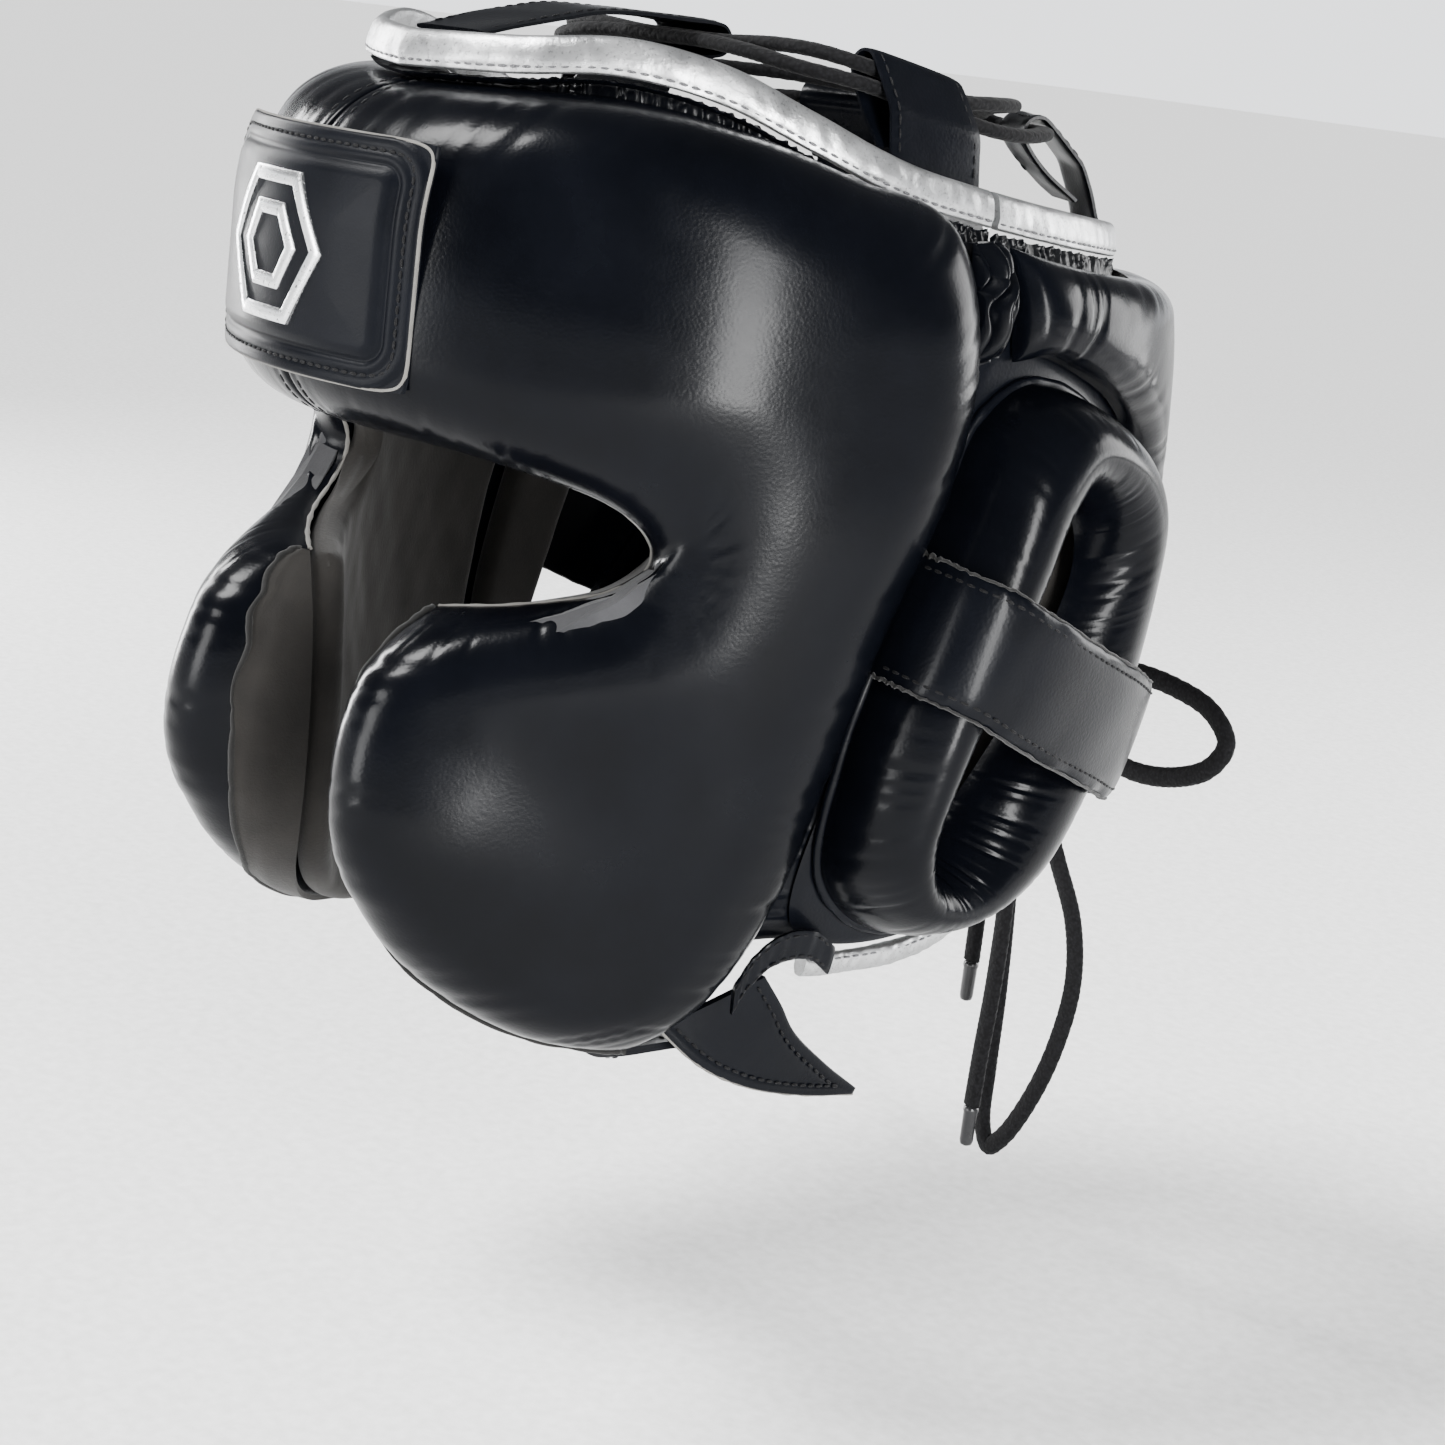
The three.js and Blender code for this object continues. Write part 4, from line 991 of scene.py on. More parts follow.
class HEADGEAR_OT_rear_pads(bpy.types.Operator):
    """Builds the padded panel above and behind each ear: a Coons patch at a height that swells towards the
    back"""

    bl_idname = "headgear.rear_pads"
    bl_label = "Rear pads"

    def execute(self, context):
        u, v = np.meshgrid(np.linspace(0, 1, 181), np.linspace(0, 1, 81), indexing="ij")
        u, v = u - 0.1 * np.sin(TAU * u), v - 0.1 * np.sin(TAU * v)
        at = patch(REAR_EDGES, u, v)
        phi, z = at[..., 0], at[..., 1]
        flat = on_head(phi, z, FLAP_SEAM)
        start, end, near, far = edge_distances(flat)
        full = rolled(near, 13.0) * rolled(far, 16.0) * rolled(start, 12.0) * rolled(end, 12.0)
        depth = settings().crease_depth
        rise = 9 + 2 * bell(z - 40, 60) + 5 * bell(phi - 172, 18)
        rise = rise + 0.4 * waves(flat[..., 1], z, 12, 6, (30, 70))
        run = down_of(flat)
        rise -= depth * 1.1 * puckers(run[:, :1], 17, 9) * bell(near - 5, 8)
        rise -= depth * 1.1 * puckers(run[:, -1:], 19, 10) * bell(far - 5, 8)
        points = on_head(phi, z, FLAP_SEAM + rise * full)
        creases = [
            [(103, 60), (112, 56), (122, 50)], [(150, 60), (152, 40), (151, 18)],
            [(160, 5), (161, -18), (158, -38)]
        ]
        cut = crease(points, lines_on(creases, 24, FLAP_SEAM + 10), 0.7 * depth, 1.1)
        points = points - cut[..., None] * unit(on_head(phi, z, 30) - flat)
        back = on_head(phi, z, FLAP_SEAM + 0.05)
        for side, mirror in SIDES.items():
            pad = add_mesh(f"rear_pad_{side}", shell(points, back), "glossy_leather", mirror, 70)
            place(pad, f"side_{side}", "glossy_leather", f"rear_cover_{side}")
        return {"FINISHED"}


# ---------- ear rings and the flap ----------

RING_OUTLINE = [
    (104, 46), (122, 39), (136, 22), (141, -2), (139.5, -32), (133, -62), (122, -84), (105, -94),
    (87, -93), (74.5, -79), (74, -46), (79.6, -12), (86, 16), (92.5, 37),
]
RING_HOLE = [
    (111, 19), (119, 13), (123, 0), (120, -16), (114, -34), (106, -53), (99, -67), (93.5, -73),
    (90, -70), (89.5, -58), (93, -40), (98, -23), (103, -4), (107, 11),
]
FLAP_LOWER_EDGE = [(72, -97), (84, -98), (106, -97), (124, -91), (144, -74), (158, -61), (170, -54)]


def flap_lower_z(phi):
    return value_at(FLAP_LOWER_EDGE, phi)


FLAP_OUTLINE = [
    (104, 70), (130, 66), (150, 64), (169.5, 61.5), (171.5, 25), (171.5, -15),
    *((phi, float(flap_lower_z(phi))) for phi in (169, 155, 140, 108, 80)),
    (71, -92), (74, -50), (83, 0), (91, 45),
]
FLAP_HOLE = [
    (107, 22), (116, 22), (124, 15), (126, 0), (123, -16), (117, -36), (109, -56), (105.5, -63.5), (101, -70),
    (93, -77.5), (86, -73), (86.5, -56), (93, -30), (99, -6), (104, 12),
]
RING_MIDDLE = (105.0, -25.0)
STITCH_RING_SCALE = (1.045, 1.05)  # how much wider the stitches run than the ring's outline
FLAP_STITCH_HEIGHT = 13.5


class HEADGEAR_OT_ear_rings(bpy.types.Operator):
    """Builds the stuffed ring round each ear: from its outline to its hole the height follows a sine to the
    power 0.55, less the gathers of the leather round both seams"""

    bl_idname = "headgear.ear_rings"
    bl_label = "Ear rings"

    def execute(self, context):
        t = np.linspace(0, 1, 361)[:-1, None]
        w = (0.5 - 0.5 * np.cos(np.pi * np.linspace(0, 1, 37)))[None]
        a = centripetal(RING_OUTLINE, t[:, 0], True)[:, None]
        b = centripetal(RING_HOLE, t[:, 0], True)[:, None]
        at = a + (b - a) * w[..., None]
        rise = 22 + 3.5 * np.cos(TAU * (t - 0.72))
        outline = on_head(a[:, 0, 0], a[:, 0, 1], FLAP_SEAM)
        s = np.concatenate([[0], np.cumsum(np.linalg.norm(np.diff(outline, axis=0), axis=-1))])[:, None]
        depth = settings().crease_depth
        lower = 0.5 + 0.9 * bell(t - 0.57, 0.16)
        gathers = puckers(s, 23, 7.0) * bell(w - 0.12, 0.16) + 1.3 * puckers(s, 29, 5.0) * bell(w - 0.9, 0.2)
        dome = np.sin(np.pi * w) ** 0.55
        h = FLAP_SEAM + rise * dome - depth * 1.6 * lower * gathers * (dome > 0.02)
        h = h + 0.35 * waves(at[..., 0], at[..., 1], 14, 6, (25, 60)) * dome
        top = on_head(at[..., 0], at[..., 1], h)
        below = a + (b - a) * np.array([0.8, 0.6, 0.4, 0.2])[None, :, None]
        bottom = on_head(below[..., 0], below[..., 1], FLAP_SEAM + 0.1)
        made = hoop(np.concatenate([top, bottom], 1))
        for side, mirror in SIDES.items():
            ring = add_mesh(f"ear_ring_{side}", made, "glossy_leather", mirror, 75)
            place(ring, f"side_{side}", "glossy_leather", f"ear_ring_cover_{side}")
            self.welt(side, mirror, outline)
            self.rim(side, mirror)
        return {"FINISHED"}

    def welt(self, side, mirror, outline):
        """The turned welt in the ring's outer seam: a thin closed tube."""
        path = 0.5 * (outline + np.roll(outline, 1, 0))
        around = centripetal(RING_OUTLINE, np.linspace(0, 1, 361)[:-1], True)
        out = unit(on_head(*around.T, FLAP_SEAM + 1) - outline)
        ahead = unit(np.roll(path, -1, 0) - np.roll(path, 1, 0))
        across = unit(np.cross(ahead, out))
        profile = ring_profile(1.7, 1.2, 10)
        wobble = (1 + 0.2 * waves(np.arange(360.0), np.zeros(360), 6, 7, (5, 30)))[:, None, None]
        profile = profile[None] * wobble
        made = hoop(path[:, None] + profile[..., :1] * across[:, None] + profile[..., 1:] * out[:, None])
        make(f"ear_ring_welt_{side}", made, "soft_leather", f"side_{side}", "soft_leather", mirror=mirror)

    def rim(self, side, mirror):
        """Stitches behind the ring, where it is sewn to the flap."""
        edge = centripetal(RING_OUTLINE, np.linspace(0, 1, 300), True)
        middle = np.array(RING_MIDDLE)
        outside = middle + (edge - middle) * np.array(STITCH_RING_SCALE)
        behind = (outside[:, 0] > 118) & (outside[:, 1] < 18)
        lines = [head_line(outside[behind], FLAP_STITCH_HEIGHT)]
        stitches(f"ring_stitches_{side}", lines, f"side_{side}", "soft_leather", mirror=mirror)


def flap_layer(low, high, edge, nap=0.0):
    """A flat layer between the flap's outline and its ear hole, as closed sections with softened corners."""
    t = np.linspace(0, 1, 241)[:-1, None]
    a, b = centripetal(FLAP_OUTLINE, t[:, 0], True)[:, None], centripetal(FLAP_HOLE, t[:, 0], True)[:, None]
    w = np.linspace(0, 1, 15)[None]
    at = a + (b - a) * w[..., None]
    width = np.linalg.norm(on_head(a[..., 0], a[..., 1], low) - on_head(b[..., 0], b[..., 1], low), axis=-1)
    full = rolled(w * width, edge) * rolled((1 - w) * width, edge)
    middle, half = 0.5 * (low + high), 0.5 * (high - low)
    soft = nap * waves(at[..., 0] * 1.5, at[..., 1], 41, 8, (9, 30))
    top = on_head(at[..., 0], at[..., 1], middle + half * full)
    bottom = on_head(at[..., 0], at[..., 1], middle - (half - soft) * full)[:, ::-1]
    return hoop(np.concatenate([top, bottom[:, 1:-1]], 1))


class HEADGEAR_OT_flaps(bpy.types.Operator):
    """Builds the flat layers of each rear flap: the leather outside and the suede cushion inside, with an
    ear hole"""

    bl_idname = "headgear.flaps"
    bl_label = "Flaps"

    def execute(self, context):
        for side, mirror in SIDES.items():
            backing = add_mesh(
                f"flap_leather_{side}", flap_layer(11.95, 13.3, 1.2), "soft_leather", mirror, 60,
            )
            place(backing, f"side_{side}", "soft_leather", f"flap_backing_{side}")
            lining = add_mesh(
                f"flap_lining_{side}_suede", flap_layer(2.5, 11.7, 5.0, 0.3), "suede_lining", mirror, 60,
            )
            place(lining, f"side_{side}", "suede_lining", f"flap_lining_{side}")
        return {"FINISHED"}


STRAP_WIDTH, STRAP_THICKNESS, STRAP_SKEW = 30, 3.6, 6
STRAP_LINE = [
    (78, -9, 15.6), (78.8, -9.5, 24), (80.8, -11, 33.4), (85, -13.5, 39.4), (92, -19, 41.2), (104, -28, 40),
    (117, -37, 37.6), (127, -44, 34.6), (134.6, -47.5, 30.4), (138.2, -49, 24), (139.2, -49.5, 17),
]


class HEADGEAR_OT_ear_straps(bpy.types.Operator):
    """Lays a doubled leather strap over each ear: a line of [phi, z, height] carried across its width,
    thinner and slightly frayed at its two edges, and stitched near them"""

    bl_idname = "headgear.ear_straps"
    bl_label = "Ear straps"

    def spot(self, u, v, lift):
        """A point of the strap: u along it, v across it from 0 to 1, and lift above its underside."""
        p = centripetal(STRAP_LINE, u)
        edge = np.abs(2 * v - 1)
        fray = 0.22 * waves(u * 170, 9 * v, 51, 7, (2.5, 12)) * ease(edge, 0.8, 1.0) * np.sign(v - 0.5)
        phi, z = p[..., 0] + STRAP_SKEW * (v - 0.5), p[..., 1] + (v - 0.5) * STRAP_WIDTH + fray
        return on_head(phi, z, p[..., 2] + lift)

    def execute(self, context):
        across = 0.5 - 0.5 * np.cos(np.pi * np.linspace(0, 1, 31))
        u, v = np.meshgrid(np.linspace(0, 1, 261), across, indexing="ij")
        edge = 2 * np.abs(v - 0.5)
        crown = 0.5 + STRAP_THICKNESS * 0.5 * (1 - edge**6) ** 0.5
        frill = 0.35 * waves(170 * u, 6 * v, 54, 5, (7, 22)) * ease(edge, 0.7, 1)
        ripple = 0.2 * waves(170 * u, 30 * v, 53, 6, (14, 50)) + frill
        top = self.spot(u, v, STRAP_THICKNESS / 2 + crown + ripple - 0.4)
        bottom = self.spot(u, v, STRAP_THICKNESS / 2 - crown + 0.5 + 0.5 * ripple)
        for side, mirror in SIDES.items():
            strap = add_mesh(f"ear_strap_{side}_leather", shell(top, bottom), "soft_leather", mirror, 65)
            place(strap, f"side_{side}", "soft_leather", f"ear_strap_{side}")
            lines = []
            along = np.linspace(0.015, 0.985, 300)
            for at in (0.09, 0.91):
                line = self.spot(along, np.full(300, at), STRAP_THICKNESS - 0.22)
                lines.append((line, unit(self.spot(along, np.full(300, at), STRAP_THICKNESS + 1) - line)))
            stitches(f"strap_stitches_{side}", lines, f"side_{side}", "soft_leather", mirror=mirror)
            for at, name in ((0.0, "lower"), (1.0, "upper")):
                line = self.spot(along, np.full(300, at), STRAP_THICKNESS / 2)
                out = unit(self.spot(along, np.full(300, at), STRAP_THICKNESS / 2 + 1) - line)
                rough = (1 + 0.25 * waves(np.arange(300.0), np.zeros(300), 57, 9, (3, 14)))[:, None, None]
                fray = sweep(line, out, ring_profile(0.4, 1.0, 8)[None] * rough)
                make(
                    f"strap_edge_{name}_{side}", fray, "dark_edge", f"side_{side}", "soft_leather",
                    mirror=mirror,
                )
        return {"FINISHED"}


class HEADGEAR_OT_bellows(bpy.types.Operator):
    """Builds the crumpled gusset between the front pad and the flap: a bowed patch folded by sines of
    several lengths"""

    bl_idname = "headgear.bellows"
    bl_label = "Side bellows"

    def execute(self, context):
        u, v = np.meshgrid(np.linspace(0, 1, 61), np.linspace(0, 1, 141), indexing="ij")
        phi = 88.8 + 7.7 * u - 1.6 * (1 - v)
        z = 49.5 + 29 * v + 3 * (1 - v) * u
        bend = 0.25 * np.sin(TAU * 0.8 * v) + 0.12 * np.sin(TAU * 2.1 * v + 1)
        folds = np.abs(np.sin(TAU * (1.15 * u + bend))) ** 0.55 - 0.5
        fine = np.abs(waves(9 * u, 16 * v, 61, 5, (7, 14))) ** 0.7 - 0.4
        round_off = np.sin(np.pi * np.clip(v, 0.02, 0.98)) ** 0.45 * (0.55 + 0.45 * np.sin(np.pi * u))
        h = FLAP_SEAM + (8 + 4.2 * folds + 2.0 * fine) * round_off
        front = on_head(phi + 0.8 * folds, z + 1.2 * fine, np.maximum(h, FLAP_SEAM + 1.0))
        back = on_head(phi, z, FLAP_SEAM + 0.6)
        for side, mirror in SIDES.items():
            piece = add_mesh(
                f"side_bellows_{side}_leather", shell(front, back), "crumpled_leather", mirror, 80,
            )
            place(piece, "shell", "soft_leather", f"side_bellows_{side}")
        return {"FINISHED"}


class HEADGEAR_OT_side_webs(bpy.types.Operator):
    """Closes the slit of each side seam with a gathered strip of leather, from the front pad's edge to
    the flap's"""

    bl_idname = "headgear.side_webs"
    bl_label = "Side webs"

    def execute(self, context):
        pad = edge_line(FRONT_EDGES, "far", 400)
        pad = pad[(pad[:, 1] < 70) & (pad[:, 0] < 90)]
        flap = centripetal(FLAP_OUTLINE, np.linspace(0, 1, 800), True)
        flap = flap[(flap[:, 0] < 93) & (flap[:, 1] > -95) & (flap[:, 1] < 52)]
        pad, flap = (line[np.argsort(line[:, 1])] for line in (pad, flap))
        z, w = np.meshgrid(np.linspace(-96, 78, 261), np.linspace(0, 1, 25), indexing="ij")
        low, high = (np.interp(z, line[:, 1], line[:, 0]) for line in (pad, flap))
        phi = low - 0.6 + (high - low + 1.4) * w
        middle = np.sin(np.pi * w)
        gathers = puckers(z[:, :1], 43, 6.0) * middle + 0.4 * waves(z, 8 * w, 44, 6, (5, 18)) * middle
        outer = on_head(phi, z, 11.6 - 0.9 * middle + 0.8 * gathers)
        inner = on_head(phi, z, 9.4 - 0.3 * middle)
        for side, mirror in SIDES.items():
            web = add_mesh(f"side_web_{side}", shell(outer, inner), "soft_leather", mirror, 70)
            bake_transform(web)
        return {"FINISHED"}


# ---------- crown rim, tabs and lower binding ----------

RIM_HEIGHT = [
    (0, 107), (15, 108.6), (28, 111), (42, 107.5), (56, 100), (75, 91), (97, 86), (122, 82), (147, 79),
    (172, 77),
]
BAND_DROP = 13  # from the rim's middle to the foot of the gathered band
RIM_OFF = [(0, 22), (15, 19), (30, 14.5), (50, 11.2), (75, 10), (97, 9), (172, 9)]


def rim_z(phi):
    return value_at(RIM_HEIGHT, np.abs(phi))


def rim_off(phi):
    return value_at(RIM_OFF, np.abs(phi))


def binding_band(phi, z, off, half_height, half_thickness, seed):
    """A folded binding strip: a rounded section, with a lip along its foot, carried round the head and
    rippled."""
    angle = TAU * np.arange(26) / 26
    c, s = np.cos(angle), np.sin(angle)
    high = half_height * np.sign(s) * np.abs(s) ** 0.75
    out = half_thickness * np.sign(c) * np.abs(c) ** 0.7 * (1 - 0.22 * bell(s + 0.62, 0.16))
    run = np.arange(len(phi))[:, None] * 0.9
    ripple = 0.22 * waves(run, 8 * s[None], seed, 7, (5, 24))
    ripple = ripple + 0.3 * waves(run, 3 * s[None], seed + 1, 5, (25, 70))
    return on_head(phi[:, None], z[:, None] + high[None], off[:, None] + out[None] + ripple * np.sign(c))


def close_ends(grid):
    """A closed tube of sections with a middle point at each end."""
    n, m = grid.shape[:2]
    index = np.arange(n * m).reshape(n, m)
    faces = quads(np.hstack([index, index[:, :1]]))
    fans = np.concatenate([
        np.stack([np.roll(index[0], -1), index[0], np.full(m, n * m)], 1),
        np.stack([index[-1], np.roll(index[-1], -1), np.full(m, n * m + 1)], 1),
    ])
    return np.concatenate([grid.reshape(-1, 3), grid[:1].mean(1), grid[-1:].mean(1)]), faces, fans


def gathered_band(phi, seed):
    """The ruched strip under the rim: up from the lining and out to the binding, with gathers across it."""
    v = np.linspace(0, 1, 25)[None]
    p = phi[:, None]
    foot = 8.4
    z = rim_z(p) - BAND_DROP + 7.4 * np.sin(0.5 * np.pi * np.clip(v * 1.7, 0, 1))
    h = foot + (rim_off(p) - 0.6 - foot) * ease(v, 0.35, 1.0)
    run = 1.9 * p + 3 * v
    ruche = puckers(run, seed, 5.2) + 0.5 * puckers(run + 2 * v, seed + 5, 3.1)
    lift = 1.5 * ruche * np.sin(np.pi * np.clip(v, 0.03, 0.97)) ** 0.7
    outer = on_head(p + 0 * v, z + 0.6 * lift, h + lift + 0.4)
    inner = on_head(p + 0 * v, z - 0.9, h - 0.9)
    return shell(outer, inner)


class HEADGEAR_OT_crown_rim(bpy.types.Operator):
    """Builds the crown's rim in three runs: a gathered leather band under a folded silver binding, with its
    stitches"""

    bl_idname = "headgear.crown_rim"
    bl_label = "Crown rim"

    def run(self, name, band, binding, low, high, body, mirror, seed):
        phi = np.linspace(low, high, int(abs(high - low) * 2.6))
        make(
            band + "_gathered", gathered_band(phi, seed), "crumpled_leather", body, "soft_leather", band,
            mirror=mirror, sharp=80,
        )
        made = close_ends(binding_band(phi, rim_z(phi), rim_off(phi), 4.4, 2.3, seed))
        make(
            binding + "_folded", made, "silver_leather", body, "silver_binding", binding, mirror=mirror,
            sharp=70,
        )
        line = np.stack([phi, rim_z(phi) - 2.75], 1)
        base = on_head(line[:, 0], line[:, 1], rim_off(phi) + 1.85)
        out = unit(on_head(line[:, 0], line[:, 1], rim_off(phi) + 3) - base)
        stitches(
            f"rim_stitches_{name}", [(base, out)], body, "silver_binding", "grey_thread", mirror, 3.0, 2.3,
            0.36,
        )

    def execute(self, context):
        self.run("front", "crown_band_front", "crown_binding_front", -97, 97, "shell", 1.0, 71)
        for side, mirror in SIDES.items():
            self.run(
                side, f"crown_band_{side}", f"crown_binding_{side}", 98.6, 171, f"side_{side}", mirror, 75,
            )
        return {"FINISHED"}


class HEADGEAR_OT_lower_bindings(bpy.types.Operator):
    """Binds the lower edge of each flap in silver"""

    bl_idname = "headgear.lower_bindings"
    bl_label = "Lower bindings"

    def execute(self, context):
        phi = np.linspace(76, 168, 260)
        z = flap_lower_z(phi) - 6.6
        made = close_ends(binding_band(phi, z, np.full(260, 11.0), 3.2, 2.1, 81))
        for side, mirror in SIDES.items():
            piece = add_mesh(f"lower_binding_{side}_folded", made, "silver_leather", mirror, 70)
            place(piece, f"side_{side}", "silver_binding", f"lower_binding_{side}")
            line = np.stack([phi, z + 1.9], 1)
            base, out = head_line(line, 12.9)
            stitches(
                f"lower_stitches_{side}", [(base, out)], f"side_{side}", "silver_binding", "grey_thread",
                mirror, 3.0, 2.3, 0.34,
            )
        return {"FINISHED"}


TABS = {
    "front": {"foot": (0, -98, 112), "fold": (0, -30, 117), "across": (1, 0, 0), "width": 30, "arch": 2},
    "side": {"foot": (70, -3, 91), "fold": (57, -4, 113), "across": (0, 1, -0.18), "width": 30, "arch": 1},
    "rear": {"foot": (46.5, 73, 84), "fold": (37, 57, 104), "across": (1, -0.55, 0), "width": 24, "arch": 1},
}


class HEADGEAR_OT_crown_tabs(bpy.types.Operator):
    """Builds the crown tabs: leather strips that run from the rim, fold round the lace and come back
    underneath"""

    bl_idname = "headgear.crown_tabs"
    bl_label = "Crown tabs"

    def strip(self, tab, seed):
        """The strip's middle line as a smooth curve through its run, fold and return, given a skin and a
        width that wavers, with the line, normals and side that its stitches are laid along."""
        a, b = np.array(tab["foot"], float), np.array(tab["fold"], float)
        side = unit(np.array(tab["across"], float))
        ahead = unit(b - a)
        up = np.cross(side, b - a)
        up = unit(up if up[2] > 0 else -up)
        length, eye, skin = np.linalg.norm(b - a), 3.1, 1.5
        r = eye + skin / 2
        run = lambda along, high: a + along * ahead + high * up
        t = np.linspace(0, 1, 7)
        heights = tab["arch"] * np.sin(np.pi * t) + r * np.minimum(1, 2 * t)
        line = [run(length * x, y) for x, y in zip(t, heights)]
        line += [run(length + r * np.cos(w), r * np.sin(w)) for w in np.pi / 2 - np.pi * np.arange(1, 6) / 6]
        line += [run(length, -r), run(length - 10, -r), run(length - 20, -0.45 * r)]
        path = evenly(centripetal(line, np.linspace(0, 1, 400)), 0.8)
        along = unit(np.gradient(path, axis=0))
        normal = unit(np.cross(along, side))
        normal *= np.sign(normal[4] @ up)
        n = len(path)
        v = np.linspace(-0.5, 0.5, 21)[None]
        s = 0.8 * np.arange(n)[:, None]
        width = tab["width"] * (1 + 0.012 * waves(s, 0 * s, seed, 6, (9, 40)))
        wave = 0.25 * waves(s, 30 * v, seed + 2, 6, (12, 40))
        thick = 0.5 * skin * (1 - (2 * v) ** 8 * 0.5)
        base = path[:, None] + side * (width * v)[..., None]
        top = base + normal[:, None] * (thick + wave)[..., None]
        bottom = base + normal[:, None] * (wave - thick)[..., None]
        return shell(top, bottom), path, normal, side

    def execute(self, context):
        jobs = [("crown_tab_front", TABS["front"], "shell", 1.0, 91)]
        for side, mirror in SIDES.items():
            jobs.append((f"crown_tab_side_{side}", TABS["side"], "shell", mirror, 93))
            jobs.append((f"crown_tab_rear_{side}", TABS["rear"], f"side_{side}", mirror, 95))
        for name, tab, body, mirror, seed in jobs:
            made, path, normal, side = self.strip(tab, seed)
            make(name + "_leather", made, "soft_leather", body, "soft_leather", name, mirror=mirror, sharp=60)
            half = 0.5 * tab["width"] - 2.4
            lines = []
            for at in (-half, half):
                line = path[4:-12] + side * at + normal[4:-12] * 0.6
                lines.append((line, normal[4:-12]))
            far = int(0.55 * len(path))
            across = np.linspace(-half, half, 20)[:, None]
            lines.append((path[far] + side * across + normal[far] * 0.6, np.tile(normal[far], (20, 1))))
            stitches(name + "_stitches", lines, body, "soft_leather", mirror=mirror, thread=0.3)
        return {"FINISHED"}


class HEADGEAR_OT_lace_loops(bpy.types.Operator):
    """Sews three leather loops into the rear edge of each flap: strips folded round the lacing in a half
    circle"""

    bl_idname = "headgear.lace_loops"
    bl_label = "Lace loops"

    def execute(self, context):
        edge, eye, radius, skin, width = 13.6, 8.6, 3.9, 1.4, 12.0
        turn = -np.pi / 2 - np.pi * np.arange(13) / 12
        arc = np.stack([eye + radius * np.cos(turn), radius * np.sin(turn)], 1)
        line = np.vstack([[[edge, -radius], [eye + 2, -radius]], arc, [[eye + 2, radius], [edge, radius]]])
        line = evenly(line, 0.5)
        ahead = unit(np.gradient(line, axis=0))
        out = np.stack([-ahead[:, 1], ahead[:, 0]], 1)
        for level, z0 in zip(("upper", "middle", "lower"), LOOP_HEIGHTS):
            v = np.linspace(-0.5, 0.5, 13)[None]
            z = z0 + width * v + 0 * line[:, :1]
            thick = 0.5 * skin * (1 - 0.4 * (2 * v) ** 6)
            faces = []
            for sign in (1, -1):
                x = line[:, :1] + sign * thick * out[:, :1]
                y = back_y(z) + line[:, 1:] + sign * thick * out[:, 1:]
                faces.append(np.stack([x, y, z], -1))
            made = shell(*faces)
            for side, mirror in SIDES.items():
                name = f"lace_loop_{level}_{side}"
                make(
                    name + "_leather", made, "soft_leather", f"side_{side}", "soft_leather", name,
                    mirror=mirror, sharp=60,
                )
        return {"FINISHED"}


# ---------- label ----------

LABEL = {"width": 84, "bottom": 32, "top": 88, "back": -138.4, "thickness": 1.7, "curve": 0.0068}


def label_point(x, z, lift):
    """A point of the label: back by a square of x, and in at the top by a square of the height over its
    upper part."""
    y = LABEL["back"] - lift + LABEL["curve"] * x * x + 3.4 * np.clip((z - 66) / 22, 0, 1) ** 2
    return np.stack(np.broadcast_arrays(x, y, z), -1)


